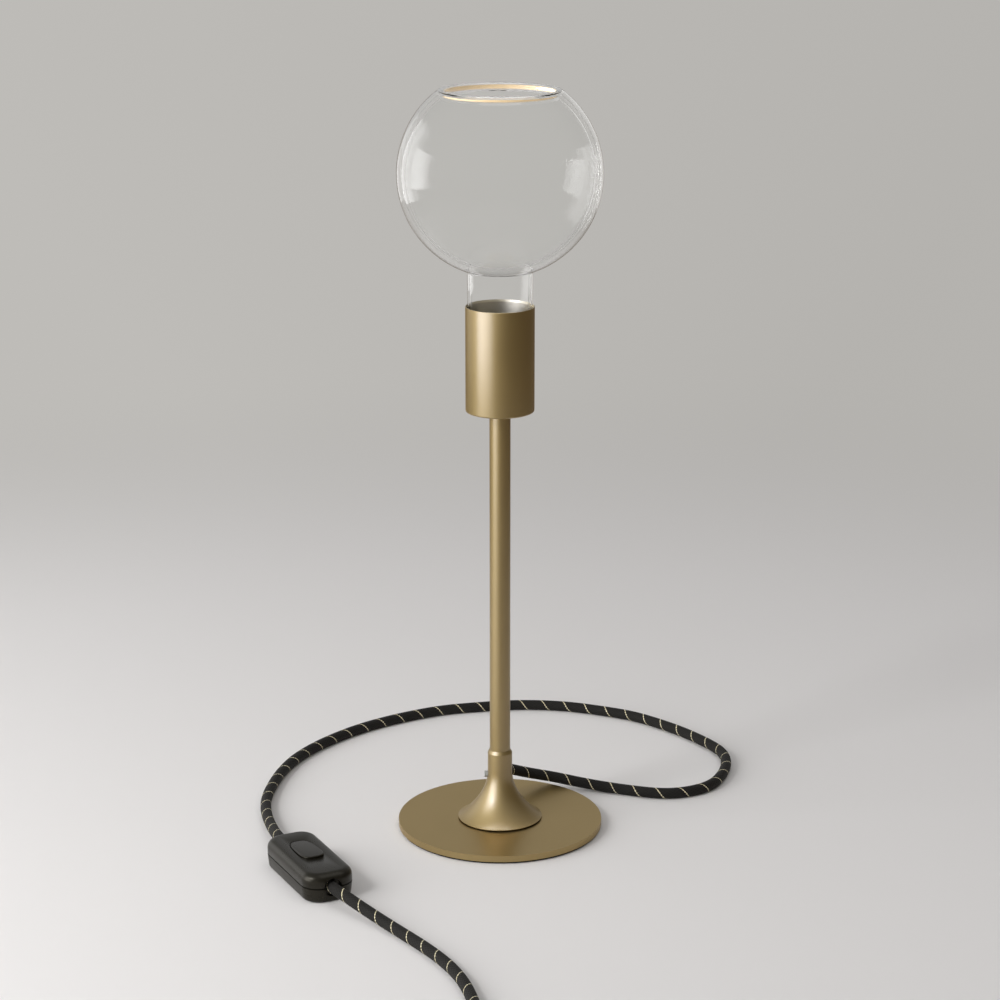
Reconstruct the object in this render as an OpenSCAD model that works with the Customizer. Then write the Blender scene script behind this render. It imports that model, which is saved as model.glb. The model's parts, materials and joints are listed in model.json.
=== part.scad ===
// Bare bulb table lamp: a brass base disc, a turned trumpet foot, a slim stem and a socket
// cup that holds a double-walled globe bulb. A braided cord leaves the back of the foot and
// runs over the table through an inline switch to a coil and an earthed plug.
// Millimetres, +Z up, the front is -Y, the origin is the centre of the underside.

/* [Base disc] */
// Radius of the brass base disc
base_r = 65; // [58:0.5:68]
// Thickness of the brass base disc
base_t = 4; // [3.6:0.1:6]
// Chamfer round the edges of the base disc
base_edge = 0.4; // [0.2:0.1:1]
// Thickness of the non-slip pad under the disc
pad_t = 1.4; // [0.8:0.1:3]
// Distance from the edge of the pad to the edge of the disc
pad_inset = 1.2; // [0.5:0.1:4]
// Radius of the nut recess under the disc
recess_r = 12.5; // [11:0.5:16]

/* [Threaded joints] */
// Radius of the tapped holes and of the stem's bore
thread_r = 5; // [4.6:0.1:5.4]
// Play between a thread and its tapped hole
thread_gap = 0.05; // [0.02:0.01:0.1]
// Radius of the bore through the hollow nipple
nipple_bore_r = 3.6; // [2.9:0.1:3.8]
// Length of nipple inside the stem
nipple_grip = 12; // [8:0.5:20]
// Length of base stud inside the foot
stud_grip = 15.5; // [10:0.5:17]
// Width of the nuts across their flats
nut_flats = 15; // [14:0.5:17]
// Thickness of the thin nut under the base
base_nut_t = 1.7; // [1:0.1:2]
// Thickness of the lock nut in the cup
cup_nut_t = 3; // [2:0.1:5]
// Thickness of the washers and of the earth tag
washer_t = 0.6; // [0.4:0.1:0.8]
// Radius of the washers
washer_r = 9.6; // [8.5:0.1:10.5]

/* [Trumpet foot] */
// Thickness of the gasket between the disc and the foot
gasket_t = 0.8; // [0.4:0.1:2]
// Distance from the edge of the gasket to the rim of the foot
gasket_inset = 2.8; // [1:0.1:6]
// Radius of the rim of the foot
foot_rim_r = 26.8; // [24:0.2:34]
// Height of the upright edge of the rim
foot_rim_t = 0.4; // [0.2:0.1:2]
// Height of the flare from the rim to the neck
flare_h = 30; // [26:0.5:40]
// How full the flare is beside the rim
flare_round = 1.17; // [1:0.01:1.4]
// How upright the flare is below the neck
flare_rise = 1.9; // [1.6:0.05:2.2]
// Radius of the neck
neck_r = 7.8; // [7.6:0.1:9.4]
// Height of the straight neck above the flare
neck_h = 15; // [13:0.5:24]
// Height of the chamfer at the top of the neck
neck_edge = 1; // [0.4:0.1:1.1]

/* [Stem] */
// Radius of the stem tube
stem_r = 6.5; // [6.3:0.1:6.8]
// Length of the stem tube
stem_len = 232.7; // [160:0.1:320]
// Depth of the stem's seat in the neck
stem_seat = 11; // [8:0.5:12.5]
// Play round the stem in its seat
stem_gap = 0.05; // [0.02:0.01:0.1]

/* [Socket cup] */
// Outer radius of the socket cup
cup_r = 21.25; // [21:0.05:24]
// Height of the socket cup
cup_h = 65.8; // [62:0.1:80]
// Wall of the socket cup
cup_wall = 0.85; // [0.6:0.05:1]
// Thickness of the floor of the cup
cup_floor_t = 1.2; // [0.9:0.1:2]
// Rounding of the lower edge of the cup
cup_round = 1.1; // [0.3:0.1:1.2]

/* [Lampholder] */
// Outer radius of the lampholder
holder_r = 18.6; // [17.6:0.1:19.2]
// Wall of the moulded lampholder shells
holder_wall = 1.7; // [1.2:0.1:2]
// Radius of the threaded collar under the lampholder
holder_collar_r = 8; // [7.2:0.1:9]
// Height of the lower shell of the lampholder
holder_base_h = 12.3; // [11.5:0.1:16]
// Thickness of the ceramic carrier
carrier_t = 3.4; // [3:0.1:5]
// Depth of the ceramic carrier below the top of the lower shell
carrier_drop = 4.4; // [4:0.1:4.8]
// Number of grip ribs round the upper shell
skirt_ribs = 24; // [12:1:36]
// Radius of the copper cores
core_r = 0.95; // [0.7:0.05:1]
// Distance from each core to the axis of the stem
core_spread = 1.5; // [1.2:0.05:1.7]
// Radius at which the terminals stand
terminal_r = 9; // [8.5:0.1:10]

/* [Bulb] */
// Outer radius of the glass globe
globe_r = 62.5; // [55:0.5:70]
// Height of the centre of the globe above the cup's rim
globe_rise = 81; // [74:0.5:95]
// Thickness of the glass
glass_t = 0.8; // [0.6:0.05:1]
// Radius of the fold that joins the two walls at the rim
fold_r = 2.7; // [2.5:0.1:3.5]
// Height of the centre of the fold above the centre of the globe
fold_rise = 47.5; // [42:0.5:50]
// Play between the glass neck and the cup
glass_gap = 0.4; // [0.3:0.05:0.8]
// Radius of the fillet between the glass neck and the globe
glass_fillet = 2; // [1:0.1:3]
// Height of the taper from the glass neck to the screw cap
glass_taper_h = 12; // [10:0.5:14]
// Radius of the screw cap
cap_r = 13.1; // [12.9:0.05:13.2]
// Height of the screw cap's shell
cap_h = 22.5; // [21:0.5:24]
// Wall of the screw cap's shell
cap_wall = 0.4; // [0.3:0.05:0.5]
// Play round the screw cap and above the centre contact
cap_gap = 0.3; // [0.3:0.05:0.5]
// Width of the light strip along the fold
strip_h = 1.8; // [1:0.1:2]
// Thickness of the light strip
strip_t = 0.4; // [0.3:0.1:0.5]
// Radius of the wires that feed the light strip
lead_r = 0.25; // [0.2:0.05:0.3]

/* [Cord] */
// Diameter of the braided cord
cord_d = 7; // [6:0.1:7]
// Distance of the cord hole's axis below the top of the flare
exit_drop = 4.1; // [3.5:0.1:5]
// Play round the cord in the bush and in the switch
cord_gap = 0.1; // [0.05:0.05:0.4]
// Wall of the bush in the cord hole
bush_wall = 0.8; // [0.6:0.1:0.9]
// How far the bush stands out of the foot
bush_lip = 1.7; // [1:0.1:2]
// Radius of the cord grip screw
screw_r = 2; // [1.5:0.1:2.3]
// Height of the cord grip screw above the axis of the cord
screw_rise = 2; // [0:0.5:2.5]
// How far the cord grip screw stands out of the foot
screw_lip = 1.7; // [1:0.1:2.5]

/* [Inline switch] */
// Length of the switch
switch_l = 74; // [70:0.5:80]
// Width of the switch
switch_w = 32.4; // [31:0.2:36]
// Height of the switch
switch_h = 18.2; // [17.8:0.1:20]
// Radius of the switch's corners seen from above
switch_corner = 11.2; // [8:0.2:13]
// Rounding of the switch's upper edge
switch_edge = 4; // [2:0.5:5]
// Height of the line where the two shells part
switch_split = 9.4; // [9.2:0.1:10.4]
// Wall of the switch's shells
switch_wall = 2; // [1.6:0.1:2.4]
// Length of the solid ends that grip the cord
switch_end = 8; // [7:0.5:9]
// Radius of the mouths round the cord
mouth_r = 5.6; // [4.6:0.1:6.2]
// Depth of the mouths round the cord
mouth_depth = 4; // [2:0.5:5]
// Length of the switch button
button_l = 29.5; // [24:0.5:30]
// Width of the switch button
button_w = 15.6; // [15:0.2:18]
// Place of the button's middle, towards the lamp from the middle of the switch
button_shift = 4.4; // [3:0.1:5]
// Radius of the button's corners
button_corner = 7.2; // [3:0.1:7.5]
// How far the button stands out of the switch
button_lip = 0.9; // [0.6:0.1:1.5]
// Play round the button
button_gap = 0.3; // [0.3:0.05:0.5]
// Travel of the button
button_travel = 1.6; // [1:0.1:1.8]

/* [Plug] */
// Radius of the plug's body
plug_r = 18.75; // [18.4:0.05:19.5]
// Length of the plug's body
plug_l = 38; // [34:0.5:44]
// Radius of the plug's pins
pin_r = 2.4; // [2.3:0.05:2.4]
// Length of the plug's pins
pin_l = 19; // [18:0.5:19.5]
// Distance between the plug's pins
pin_spacing = 19; // [18:0.5:19.5]
// Length of the strain relief
relief_l = 32; // [24:1:44]
// Radius of the strain relief at the cord
relief_r = 4.9; // [4.6:0.1:6]

/* [Coil] */
// Radius of the coil's outer turn at the middle of the cord
coil_r = 42; // [40:0.5:46]
// Number of turns in the coil
coil_turns = 3.25; // [2.25:1:3.25]
// Distance between turns that lie beside each other
coil_step = 7.5; // [7.45:0.05:7.6]
// Height of one layer of turns above the next
coil_layer = 7.5; // [7.45:0.05:8]

/* [Hidden] */
$fn = 96;
hull_fn = 32;
eps = 0.01;
cut = 1;

// Heights, from the table upwards
disc_top = pad_t + base_t;
foot_bottom = disc_top + gasket_t;
flare_bottom = foot_bottom + foot_rim_t;
flare_top = flare_bottom + flare_h;
neck_top = flare_top + neck_h;
stem_bottom = neck_top - stem_seat;
cup_bottom = stem_bottom + stem_len;
cup_top = cup_bottom + cup_h;
cup_floor = cup_bottom + cup_floor_t;
tag_bottom = cup_floor + washer_t;
cup_nut_bottom = tag_bottom + washer_t;
holder_bottom = cup_nut_bottom + cup_nut_t;
holder_split = holder_bottom + holder_base_h;
carrier_bottom = holder_split - carrier_drop;
carrier_top = carrier_bottom + carrier_t;
contact_t = 0.6;
tip_bottom = carrier_top + contact_t + cap_gap;
tip_t = 1.7;
insulator_t = 3;
cap_bottom = tip_bottom + tip_t + insulator_t;
cap_top = cap_bottom + cap_h;
taper_bottom = cap_top + 0.9;
taper_top = taper_bottom + glass_taper_h;
globe_z = cup_top + globe_rise;
exit_z = flare_top - exit_drop;
screw_z = exit_z + screw_rise;

// Undersides of the disc's recess and of what hangs in it
recess_top = pad_t + washer_t + base_nut_t + 0.2;
base_washer_bottom = recess_top - washer_t;
base_nut_bottom = base_washer_bottom - base_nut_t;

// Foot
cavity_r = thread_r;
cavity_bottom = exit_z - 6;
seat_r = stem_r + stem_gap;
stud_r = thread_r - thread_gap;
exit_s = exit_drop / flare_h;
exit_skin_r = foot_rim_r - (foot_rim_r - neck_r) * pow(1 - pow(exit_s, flare_rise), 1 / flare_round);
cord_r = cord_d / 2;
bush_bore_r = cord_r + cord_gap;
bush_r = bush_bore_r + bush_wall;
bush_end = exit_skin_r + bush_lip;
sheath_end = -2.5;

// Lampholder
cup_inner_r = cup_r - cup_wall;
shell_inner_r = holder_r - holder_wall;
nipple_top = holder_bottom + 4.7;
sleeve_r = cap_r + cap_gap;
sleeve_t = 0.5;
sleeve_bottom = carrier_top + 0.3;
sleeve_top = cap_top - 6.8;
skirt_top = sleeve_top + 2.7;
rib_r = 0.5;
terminal_h = 2.5;
terminal_l = 4;
terminal_w = 5;
core_turn_z = carrier_bottom - terminal_h / 2 - 0.3;

// Bulb
glass_neck_r = cup_inner_r - glass_gap;
cap_neck_r = cap_r - cap_wall - 0.3;
bowl_r = globe_r - 2 * fold_r;
fold_path_r = globe_r - fold_r;
fold_x = sqrt(fold_path_r * fold_path_r - fold_rise * fold_rise);
fold_lean = asin(fold_x / fold_path_r);
fillet_z = -sqrt(pow(globe_r + glass_fillet, 2) - pow(glass_neck_r + glass_fillet, 2));
cap_seat = 7;
lead_path_r = (bowl_r + glass_t + globe_r - glass_t) / 2;
lead_start = asin((fold_rise - 0.4) / lead_path_r);
lead_end = -73;
strip_inner_r = fold_x - fold_r + glass_t + 0.45;
strip_bottom = globe_z + fold_rise - 0.8;
board_t = 1.2;
board_top = cap_top - 8;

// Inline switch, in its own frame: X along the cord, from the lamp to the plug
switch_place = [-116.4, -88.3, 0];
switch_turn = -63.3;
shell_gap = 0.25;
switch_draft = 0.8;
cavity_l = switch_l - 2 * switch_end;
cavity_w = switch_w - 2 * switch_wall;
cavity_top = switch_h - switch_wall;
button_top = switch_h + button_lip;
flange_t = 1.5;
flange_lip = 1;
flange_gap = 0.3;
flange_bottom = cavity_top - flange_gap - flange_t;
block_l = 26;
block_w = 21;
block_top = 7.6;
spring_r = 3.6;
spring_wire_r = 0.3;
spring_turns = 5;
spring_bottom = block_top;
spring_top = flange_bottom;
cord_reach = switch_l / 2 - switch_end - 1;

// Coil and plug, seen from above
coil_start_angle = 180;
coil_centre = [32, -330];
lead_in = cord_d;
rings_per_turn = 24;
coil_rings = rings_per_turn * coil_turns;
coil_low_z = cord_r;
tail_end_x = 86;
plug_y = coil_centre[1] - coil_r;
plug_z = plug_r;
plug_back = tail_end_x + relief_l;
plug_face = plug_back + plug_l;

// Cord from the back of the foot to the switch
lamp_route = [
    [0, bush_end, exit_z], [0, 13.1, exit_z], [0.4, 20.8, 31.4], [2.7, 32.2, 26.4],
    [11.5, 45, 19.1], [22, 52.6, 14], [35, 56.9, 10], [50, 57.8, 6.4], [64, 55.9, 4.3],
    [78, 52, 3.5], [93, 46.8, 3.5], [109, 43.8, 3.5], [125, 47.5, 3.5], [139, 58, 3.5],
    [148, 75, 3.5], [153, 95, 3.5], [152, 118, 3.5], [141, 140, 3.5], [127, 159, 3.5],
    [111, 176, 3.5], [93, 191, 3.5], [73, 201, 3.5], [52, 209, 3.5], [30, 213, 3.5],
    [7, 213, 3.5], [-16, 209, 3.5], [-39, 203, 3.5], [-60, 193, 3.5], [-80, 180, 3.5],
    [-99, 164, 3.5], [-115, 146, 3.5], [-129, 126, 3.5], [-140, 104, 3.5], [-147, 81, 3.5],
    [-151, 58, 3.5], [-152.9, 33, 3.5], [-150.6, 7, 4], [-144.8, -20, 5.8],
    [-137.2, -46.5, 9.2], [-129, -63.3, 9.4]
];

// Cord from the switch to the coil
mains_route = [
    [-103.8, -113.3, 9.4], [-98.4, -124, 9.3], [-91, -133, 8.3], [-84, -141, 7],
    [-75.5, -150.5, 5.5], [-66, -161.5, 4.2], [-56, -174, 3.5], [-46, -188, 3.5],
    [-36.5, -202.5, 3.5], [-28.5, -217, 3.5], [-22, -232.5, 3.5], [-17, -250, 3.5],
    [-13.5, -268, 3.5], [-11, -288, 3.5], [-10, -306, 3.5], [-10, -323, 3.5]
];

// Cord from the coil to the plug
tail_route = [
    [39, -372, 11], [47, -372, 11], [55, -372, 12.2], [63, -372, 14.9], [71, -372, 17.5],
    [79, -372, 18.75], [tail_end_x, -372, 18.75]
];

// Finishes
brass = "#b09a6a";
bright_brass = "#c9ac62";
black_plastic = "#35342f";
black_rubber = "#1c1c1b";
steel = "#9b9ea1";
ceramic = "#e6e2d8";
nylon = "#a9b4bd";
glass = "#dfe6e6";
braid = "#25241f";

// Points along an arc about c, from angle a0 to angle a1, in n steps
function arc(c, r, a0, a1, n) =
    [for (i = [0:n]) let (a = a0 + (a1 - a0) * i / n) c + r * [cos(a), sin(a)]];

function unit(v) = v / norm(v);

// Direction of a path at its point i
function heading(path, i) =
    unit(path[min(i + 1, len(path) - 1)] - path[max(i - 1, 0)]);

// Ring of points square to a path, the first one turned by offset; no part of the path runs
// along side_of
function ring(path, i, r, sides, offset, side_of) =
    let (t = heading(path, i), s = unit(cross(t, side_of)), u = cross(s, t))
    [for (k = [0:sides - 1])
        let (a = offset + 360 * k / sides)
        path[i] + r * (cos(a) * s + sin(a) * u)];

// Round tube of radius r along a path, made of triangles
module tube(path, r, sides, offset = 0, side_of = [0, 0, 1]) {
    n = len(path);
    points = [for (i = [0:n - 1]) each ring(path, i, r, sides, offset, side_of)];
    start_cap = [for (k = [1:sides - 2]) [0, k + 1, k]];
    end_cap = [for (k = [1:sides - 2]) (n - 1) * sides * [1, 1, 1] + [0, k, k + 1]];
    wall = [for (i = [0:n - 2]) for (k = [0:sides - 1])
        let (a = i * sides + k, b = i * sides + (k + 1) % sides)
        each [[a, b, a + sides], [b, b + sides, a + sides]]];
    polyhedron(points, concat(start_cap, wall, end_cap));
}

// Straight round bar between two points
module bar(a, b, r) {
    v = b - a;
    translate(a)
        rotate([0, acos(v[2] / norm(v)), atan2(v[1], v[0])])
            cylinder(r = r, h = norm(v));
}

// Solid turned from a half outline of [radius, height] points
module turned(outline) {
    rotate_extrude()
        polygon(outline);
}

module washer(r, bore_r, t) {
    difference() {
        cylinder(r = r, h = t);
        translate([0, 0, -cut])
            cylinder(r = bore_r, h = t + 2 * cut);
    }
}

module hex_nut(flats, bore_r, t) {
    difference() {
        cylinder(d = flats / cos(30), h = t, $fn = 6);
        translate([0, 0, -cut])
            cylinder(r = bore_r, h = t + 2 * cut);
    }
}

// Rectangle with round corners, centred
module round_rect(l, w, r) {
    square([l - 2 * r, w], center = true);
    square([l, w - 2 * r], center = true);
    for (x = [-1, 1], y = [-1, 1])
        translate([x * (l / 2 - r), y * (w / 2 - r)])
            circle(r);
}

// ---- Base ----

module base_plate() {
    color(brass)
        difference() {
            translate([0, 0, pad_t])
                turned([
                    [0, 0], [base_r - base_edge, 0], [base_r, base_edge],
                    [base_r, base_t - base_edge], [base_r - base_edge, base_t], [0, base_t]
                ]);
            translate([0, 0, pad_t - cut])
                cylinder(r = recess_r, h = recess_top - pad_t + cut);
            translate([0, 0, pad_t])
                cylinder(r = thread_r, h = base_t + cut);
        }
}

module base_pad() {
    color(black_rubber)
        washer(base_r - pad_inset, recess_r + 0.5, pad_t);
}

module base_washer() {
    color(steel)
        translate([0, 0, base_washer_bottom])
            washer(washer_r, thread_r, washer_t);
}

module base_nut() {
    color(steel)
        translate([0, 0, base_nut_bottom])
            hex_nut(nut_flats, thread_r, base_nut_t);
}

module base_stud() {
    color(steel)
        translate([0, 0, base_nut_bottom])
            cylinder(r = stud_r, h = foot_bottom + stud_grip - base_nut_bottom);
}

module foot_gasket() {
    color(black_rubber)
        translate([0, 0, disc_top])
            washer(foot_rim_r - gasket_inset, thread_r + 1, gasket_t);
}

// ---- Foot ----

flare_steps = 28;
flare = [for (i = [0:flare_steps]) let (a = 90 * i / flare_steps) [
    foot_rim_r - (foot_rim_r - neck_r) * pow(sin(a), 2 / flare_round),
    flare_top - flare_h * pow(cos(a), 2 / flare_rise)
]];

module trumpet_foot() {
    color(brass)
        difference() {
            turned(concat(
                [[0, foot_bottom], [foot_rim_r, foot_bottom]],
                flare,
                [[neck_r, neck_top - 2 * neck_edge], [seat_r + 0.2, neck_top], [0, neck_top]]
            ));
            translate([0, 0, foot_bottom - cut])
                cylinder(r = thread_r, h = stud_grip + 1 + cut);
            translate([0, 0, cavity_bottom])
                cylinder(r = cavity_r, h = neck_top - cavity_bottom);
            translate([0, 0, stem_bottom])
                cylinder(r = seat_r, h = stem_seat + cut);
            translate([0, 0, exit_z])
                rotate([-90, 0, 0])
                    cylinder(r = bush_r, h = foot_rim_r);
            translate([0, 0, screw_z])
                rotate([0, -90, 0])
                    cylinder(r = screw_r + thread_gap, h = foot_rim_r);
        }
}

// Nylon screw on the left that holds the end of the cord
module cord_grip_screw() {
    head_x = -exit_skin_r - screw_lip;
    slot_w = 0.7;
    slot_depth = 1;
    color(nylon)
        difference() {
            bar([-cord_r - 0.1, 0, screw_z], [head_x, 0, screw_z], screw_r);
            translate([head_x - cut, -slot_w / 2, screw_z - screw_r - cut])
                cube([slot_depth + cut, slot_w, 2 * (screw_r + cut)]);
        }
}

// Black bush that lines the cord hole at the back
module cord_bush() {
    bush_start = cavity_r - 0.6;
    color(black_plastic)
        translate([0, bush_start, exit_z])
            rotate([-90, 0, 0])
                difference() {
                    turned(concat(
                        [[0, 0], [bush_r - 0.05, 0]],
                        arc([bush_r - 0.75, bush_end - bush_start - 0.7], 0.7, 0, 90, 6),
                        [[0, bush_end - bush_start]]
                    ));
                    translate([0, 0, -cut])
                        cylinder(r = bush_bore_r, h = foot_rim_r);
                }
}

// End of the cord's sheath inside the neck, where its cores leave it
module cord_end() {
    color(braid)
        bar([0, sheath_end, exit_z], [0, bush_end, exit_z], cord_r);
}

// One insulated core, up the stem and out to its terminal
module core(angle) {
    turn_r = 1.6;
    core_bottom = exit_z + cord_r;
    rotate([0, 0, angle]) {
        translate([core_spread, 0, core_bottom])
            cylinder(r = core_r, h = core_turn_z - turn_r - core_bottom);
        translate([core_spread + turn_r, 0, core_turn_z - turn_r])
            rotate([90, 0, 0])
                rotate_extrude(angle = 90, start = 90)
                    translate([turn_r, 0])
                        circle(core_r);
        bar(
            [core_spread + turn_r, 0, core_turn_z],
            [terminal_r - terminal_l / 2, 0, core_turn_z],
            core_r
        );
    }
}

module live_core() {
    color("#7a4a2a")
        core(90);
}

module neutral_core() {
    color("#3f6fb0")
        core(210);
}

module earth_core() {
    color("#7fae3e")
        core(330);
}

// ---- Stem and cup ----

module stem_tube() {
    color(brass)
        translate([0, 0, stem_bottom])
            washer(stem_r, thread_r, stem_len);
}

module top_nipple() {
    color(steel)
        translate([0, 0, cup_bottom - nipple_grip])
            washer(thread_r - thread_gap, nipple_bore_r, nipple_top - cup_bottom + nipple_grip);
}

module socket_cup() {
    rim_round = cup_wall / 2;
    color(brass)
        turned(concat(
            [[thread_r, cup_bottom]],
            arc([cup_r - cup_round, cup_bottom + cup_round], cup_round, -90, 0, 8),
            arc([cup_r - rim_round, cup_top - rim_round], rim_round, 0, 180, 8),
            [[cup_inner_r, cup_floor], [thread_r, cup_floor]]
        ));
}

module tooth_washer() {
    teeth = 12;
    tooth_r = 0.9;
    color(steel)
        translate([0, 0, cup_floor])
            difference() {
                washer(washer_r, thread_r, washer_t);
                for (i = [0:teeth - 1])
                    rotate([0, 0, i * 360 / teeth])
                        translate([washer_r, 0, -cut])
                            cylinder(r = tooth_r, h = washer_t + 2 * cut);
            }
}

module earth_tag() {
    tag_w = 5;
    tag_l = 15;
    color(bright_brass)
        translate([0, 0, tag_bottom])
            difference() {
                union() {
                    cylinder(r = washer_r - 1, h = washer_t);
                    translate([0, -tag_w / 2, 0])
                        cube([tag_l, tag_w, washer_t]);
                }
                translate([0, 0, -cut])
                    cylinder(r = thread_r, h = washer_t + 2 * cut);
                translate([tag_l - 2.4, 0, -cut])
                    cylinder(r = 1.2, h = washer_t + 2 * cut);
            }
}

module cup_nut() {
    color(steel)
        translate([0, 0, cup_nut_bottom])
            hex_nut(nut_flats, thread_r, cup_nut_t);
}

// ---- Lampholder ----

module holder_base() {
    floor_z = nipple_top;
    ledge_r = shell_inner_r - 1.4;
    cone_bottom = holder_bottom + 2.6;
    cone_top = carrier_bottom - 1.2;
    color(black_plastic)
        turned([
            [thread_r, holder_bottom], [holder_collar_r, holder_bottom],
            [holder_collar_r, cone_bottom], [holder_r, cone_top],
            [holder_r, holder_split], [shell_inner_r, holder_split],
            [shell_inner_r, carrier_bottom], [ledge_r, carrier_bottom],
            [ledge_r, carrier_bottom - 0.6], [terminal_r + terminal_l / 2 + 1, floor_z],
            [thread_r, floor_z]
        ]);
}

module holder_carrier() {
    color(ceramic)
        difference() {
            translate([0, 0, carrier_bottom])
                cylinder(r = shell_inner_r - 0.1, h = carrier_t);
            for (a = [90, 210, 330])
                rotate([0, 0, a])
                    translate([terminal_r, 0, carrier_bottom - cut])
                        cylinder(r = 1.3, h = carrier_t + 2 * cut);
        }
}

module holder_terminals() {
    screw_l = 3;
    color(bright_brass)
        for (a = [90, 210, 330])
            rotate([0, 0, a])
                difference() {
                    union() {
                        translate([
                            terminal_r - terminal_l / 2, -terminal_w / 2,
                            carrier_bottom - terminal_h
                        ])
                            cube([terminal_l, terminal_w, terminal_h]);
                        translate([terminal_r, 0, carrier_bottom - eps])
                            cylinder(r = 1.2, h = screw_l);
                    }
                    translate([terminal_r - 2, -0.25, carrier_bottom + screw_l - 0.5])
                        cube([4, 0.5, cut]);
                }
}

module centre_contact() {
    strip_w = 4.6;
    color(bright_brass)
        translate([0, 0, carrier_top]) {
            translate([-7, -strip_w / 2, 0])
                cube([11, strip_w, contact_t / 2]);
            cylinder(r = 2, h = contact_t);
        }
}

module holder_sleeve() {
    color(bright_brass) {
        translate([0, 0, sleeve_bottom])
            washer(sleeve_r + sleeve_t, sleeve_r, sleeve_top - sleeve_bottom);
        for (a = [0, 120, 240])
            rotate([0, 0, a])
                translate([sleeve_r + eps, -2, carrier_top])
                    cube([sleeve_t + 2, 4, 0.3 + sleeve_t]);
    }
}

module holder_skirt() {
    lip_r = sleeve_r + 0.1;
    color(black_plastic)
        difference() {
            union() {
                turned([
                    [lip_r, skirt_top], [lip_r, sleeve_top + 0.3], [shell_inner_r, sleeve_top - 1],
                    [shell_inner_r, holder_split], [holder_r, holder_split],
                    [holder_r, skirt_top - 1], [holder_r - 1, skirt_top]
                ]);
                for (i = [0:skirt_ribs - 1])
                    rotate([0, 0, i * 360 / skirt_ribs])
                        translate([holder_r, 0, holder_split + 2])
                            cylinder(r = rib_r, h = skirt_top - holder_split - 5);
            }
            translate([0, 0, holder_split - cut])
                cylinder(r = lip_r, h = skirt_top - holder_split + 2 * cut);
        }
}

// ---- Bulb ----

// Double-walled globe, blown in one piece: the outer wall folds over at the rim into an open
// bowl, and its neck narrows below the cup's rim to the screw cap. The outline runs up the
// outside, over the fold, down into the bowl and back up and down between the walls.
module bulb_glass() {
    steps = 36;
    neck_inner_r = glass_neck_r - glass_t;
    cap_inner_r = cap_neck_r - glass_t;
    shoulder = 1.4;
    shoulder_drop = 2.6;
    hollow_r = globe_r - glass_t;
    fold_angle = 90 - fold_lean;
    fillet_angle = 90 + asin((glass_neck_r + glass_fillet) / (globe_r + glass_fillet));
    neck_angle = -acos(neck_inner_r / hollow_r);
    low = taper_bottom - globe_z;
    high = taper_top - globe_z;
    fold_c = [fold_x, fold_rise];
    outline = concat(
        [[cap_neck_r, low - cap_seat], [cap_neck_r, low]],
        [[glass_neck_r - shoulder, high - shoulder_drop], [glass_neck_r, high]],
        arc([glass_neck_r + glass_fillet, fillet_z], glass_fillet, 180, fillet_angle, 6),
        arc([0, 0], globe_r, fillet_angle - 180, fold_angle, steps),
        arc(fold_c, fold_r, fold_angle + 15, fold_angle + 165, 12),
        arc([0, 0], bowl_r, fold_angle, -90, steps),
        arc([0, 0], bowl_r + glass_t, -90, fold_angle, steps),
        arc(fold_c, fold_r - glass_t, fold_angle + 165, fold_angle + 15, 10),
        arc([0, 0], hollow_r, fold_angle, neck_angle, steps),
        [[neck_inner_r, high], [neck_inner_r - shoulder, high - shoulder_drop + glass_t / 2]],
        [[cap_inner_r, low + glass_t / 2], [cap_inner_r, low - cap_seat]]
    );
    color(glass, 0.35)
        translate([0, 0, globe_z])
            turned(outline);
}

module light_strip() {
    color("#f0a52a")
        translate([0, 0, strip_bottom])
            washer(strip_inner_r + strip_t, strip_inner_r, strip_h);
}

// Two thin wires from the light strip down between the walls to the driver
module strip_leads() {
    low = globe_z + lead_path_r * sin(lead_end);
    side = lead_path_r * cos(lead_end);
    inner = 6;
    lead_path = concat(
        [[inner, 0, board_top], [inner, 0, taper_bottom], [side, 0, taper_top + 1]],
        [for (p = arc([0, globe_z], lead_path_r, lead_end, lead_start, 16)) [p[0], 0, p[1]]]
    );
    color(steel)
        for (a = [0, 180])
            rotate([0, 0, a])
                tube(lead_path, lead_r, 6, side_of = [0, 1, 0]);
}

module bulb_cap() {
    shoulder = 1.2;
    color(steel)
        translate([0, 0, cap_bottom])
            turned([
                [0, 0], [cap_r - shoulder, 0], [cap_r, shoulder], [cap_r, cap_h],
                [cap_r - cap_wall, cap_h], [cap_r - cap_wall, shoulder + cap_wall / 2],
                [cap_r - shoulder - cap_wall / 2, cap_wall], [0, cap_wall]
            ]);
}

module cap_insulator() {
    color(black_plastic)
        translate([0, 0, cap_bottom - insulator_t])
            cylinder(r1 = 6.2, r2 = cap_r - 1.6, h = insulator_t - eps);
}

module cap_contact() {
    color(steel)
        translate([0, 0, tip_bottom])
            cylinder(r1 = 4, r2 = 5.2, h = tip_t);
}

// Driver board that stands in the screw cap, with its capacitor and coil
module bulb_driver() {
    lift = 1.8;
    board_bottom = cap_bottom + lift;
    board_w = 2 * (cap_r - cap_wall - 0.3);
    color("#2f6b45") {
        translate([-board_w / 2, -board_t / 2, board_bottom])
            cube([board_w, board_t, board_top - board_bottom]);
        translate([-5, board_t / 2 + 3.4, board_bottom + 1])
            cylinder(r = 3.5, h = 8);
        translate([3, board_t / 2 - eps, board_bottom + 1])
            cube([6, 4, 5]);
        translate([-3, -board_t / 2 - 2.5, board_bottom + 2])
            cube([7, 2.5 + eps, 4]);
    }
}

// ---- Cord, from the foot to the switch ----

module cord_lamp() {
    color(braid)
        tube(lamp_route, cord_r, 8);
}

// ---- Inline switch ----

module at_switch() {
    translate(switch_place)
        rotate([0, 0, switch_turn])
            children();
}

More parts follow.
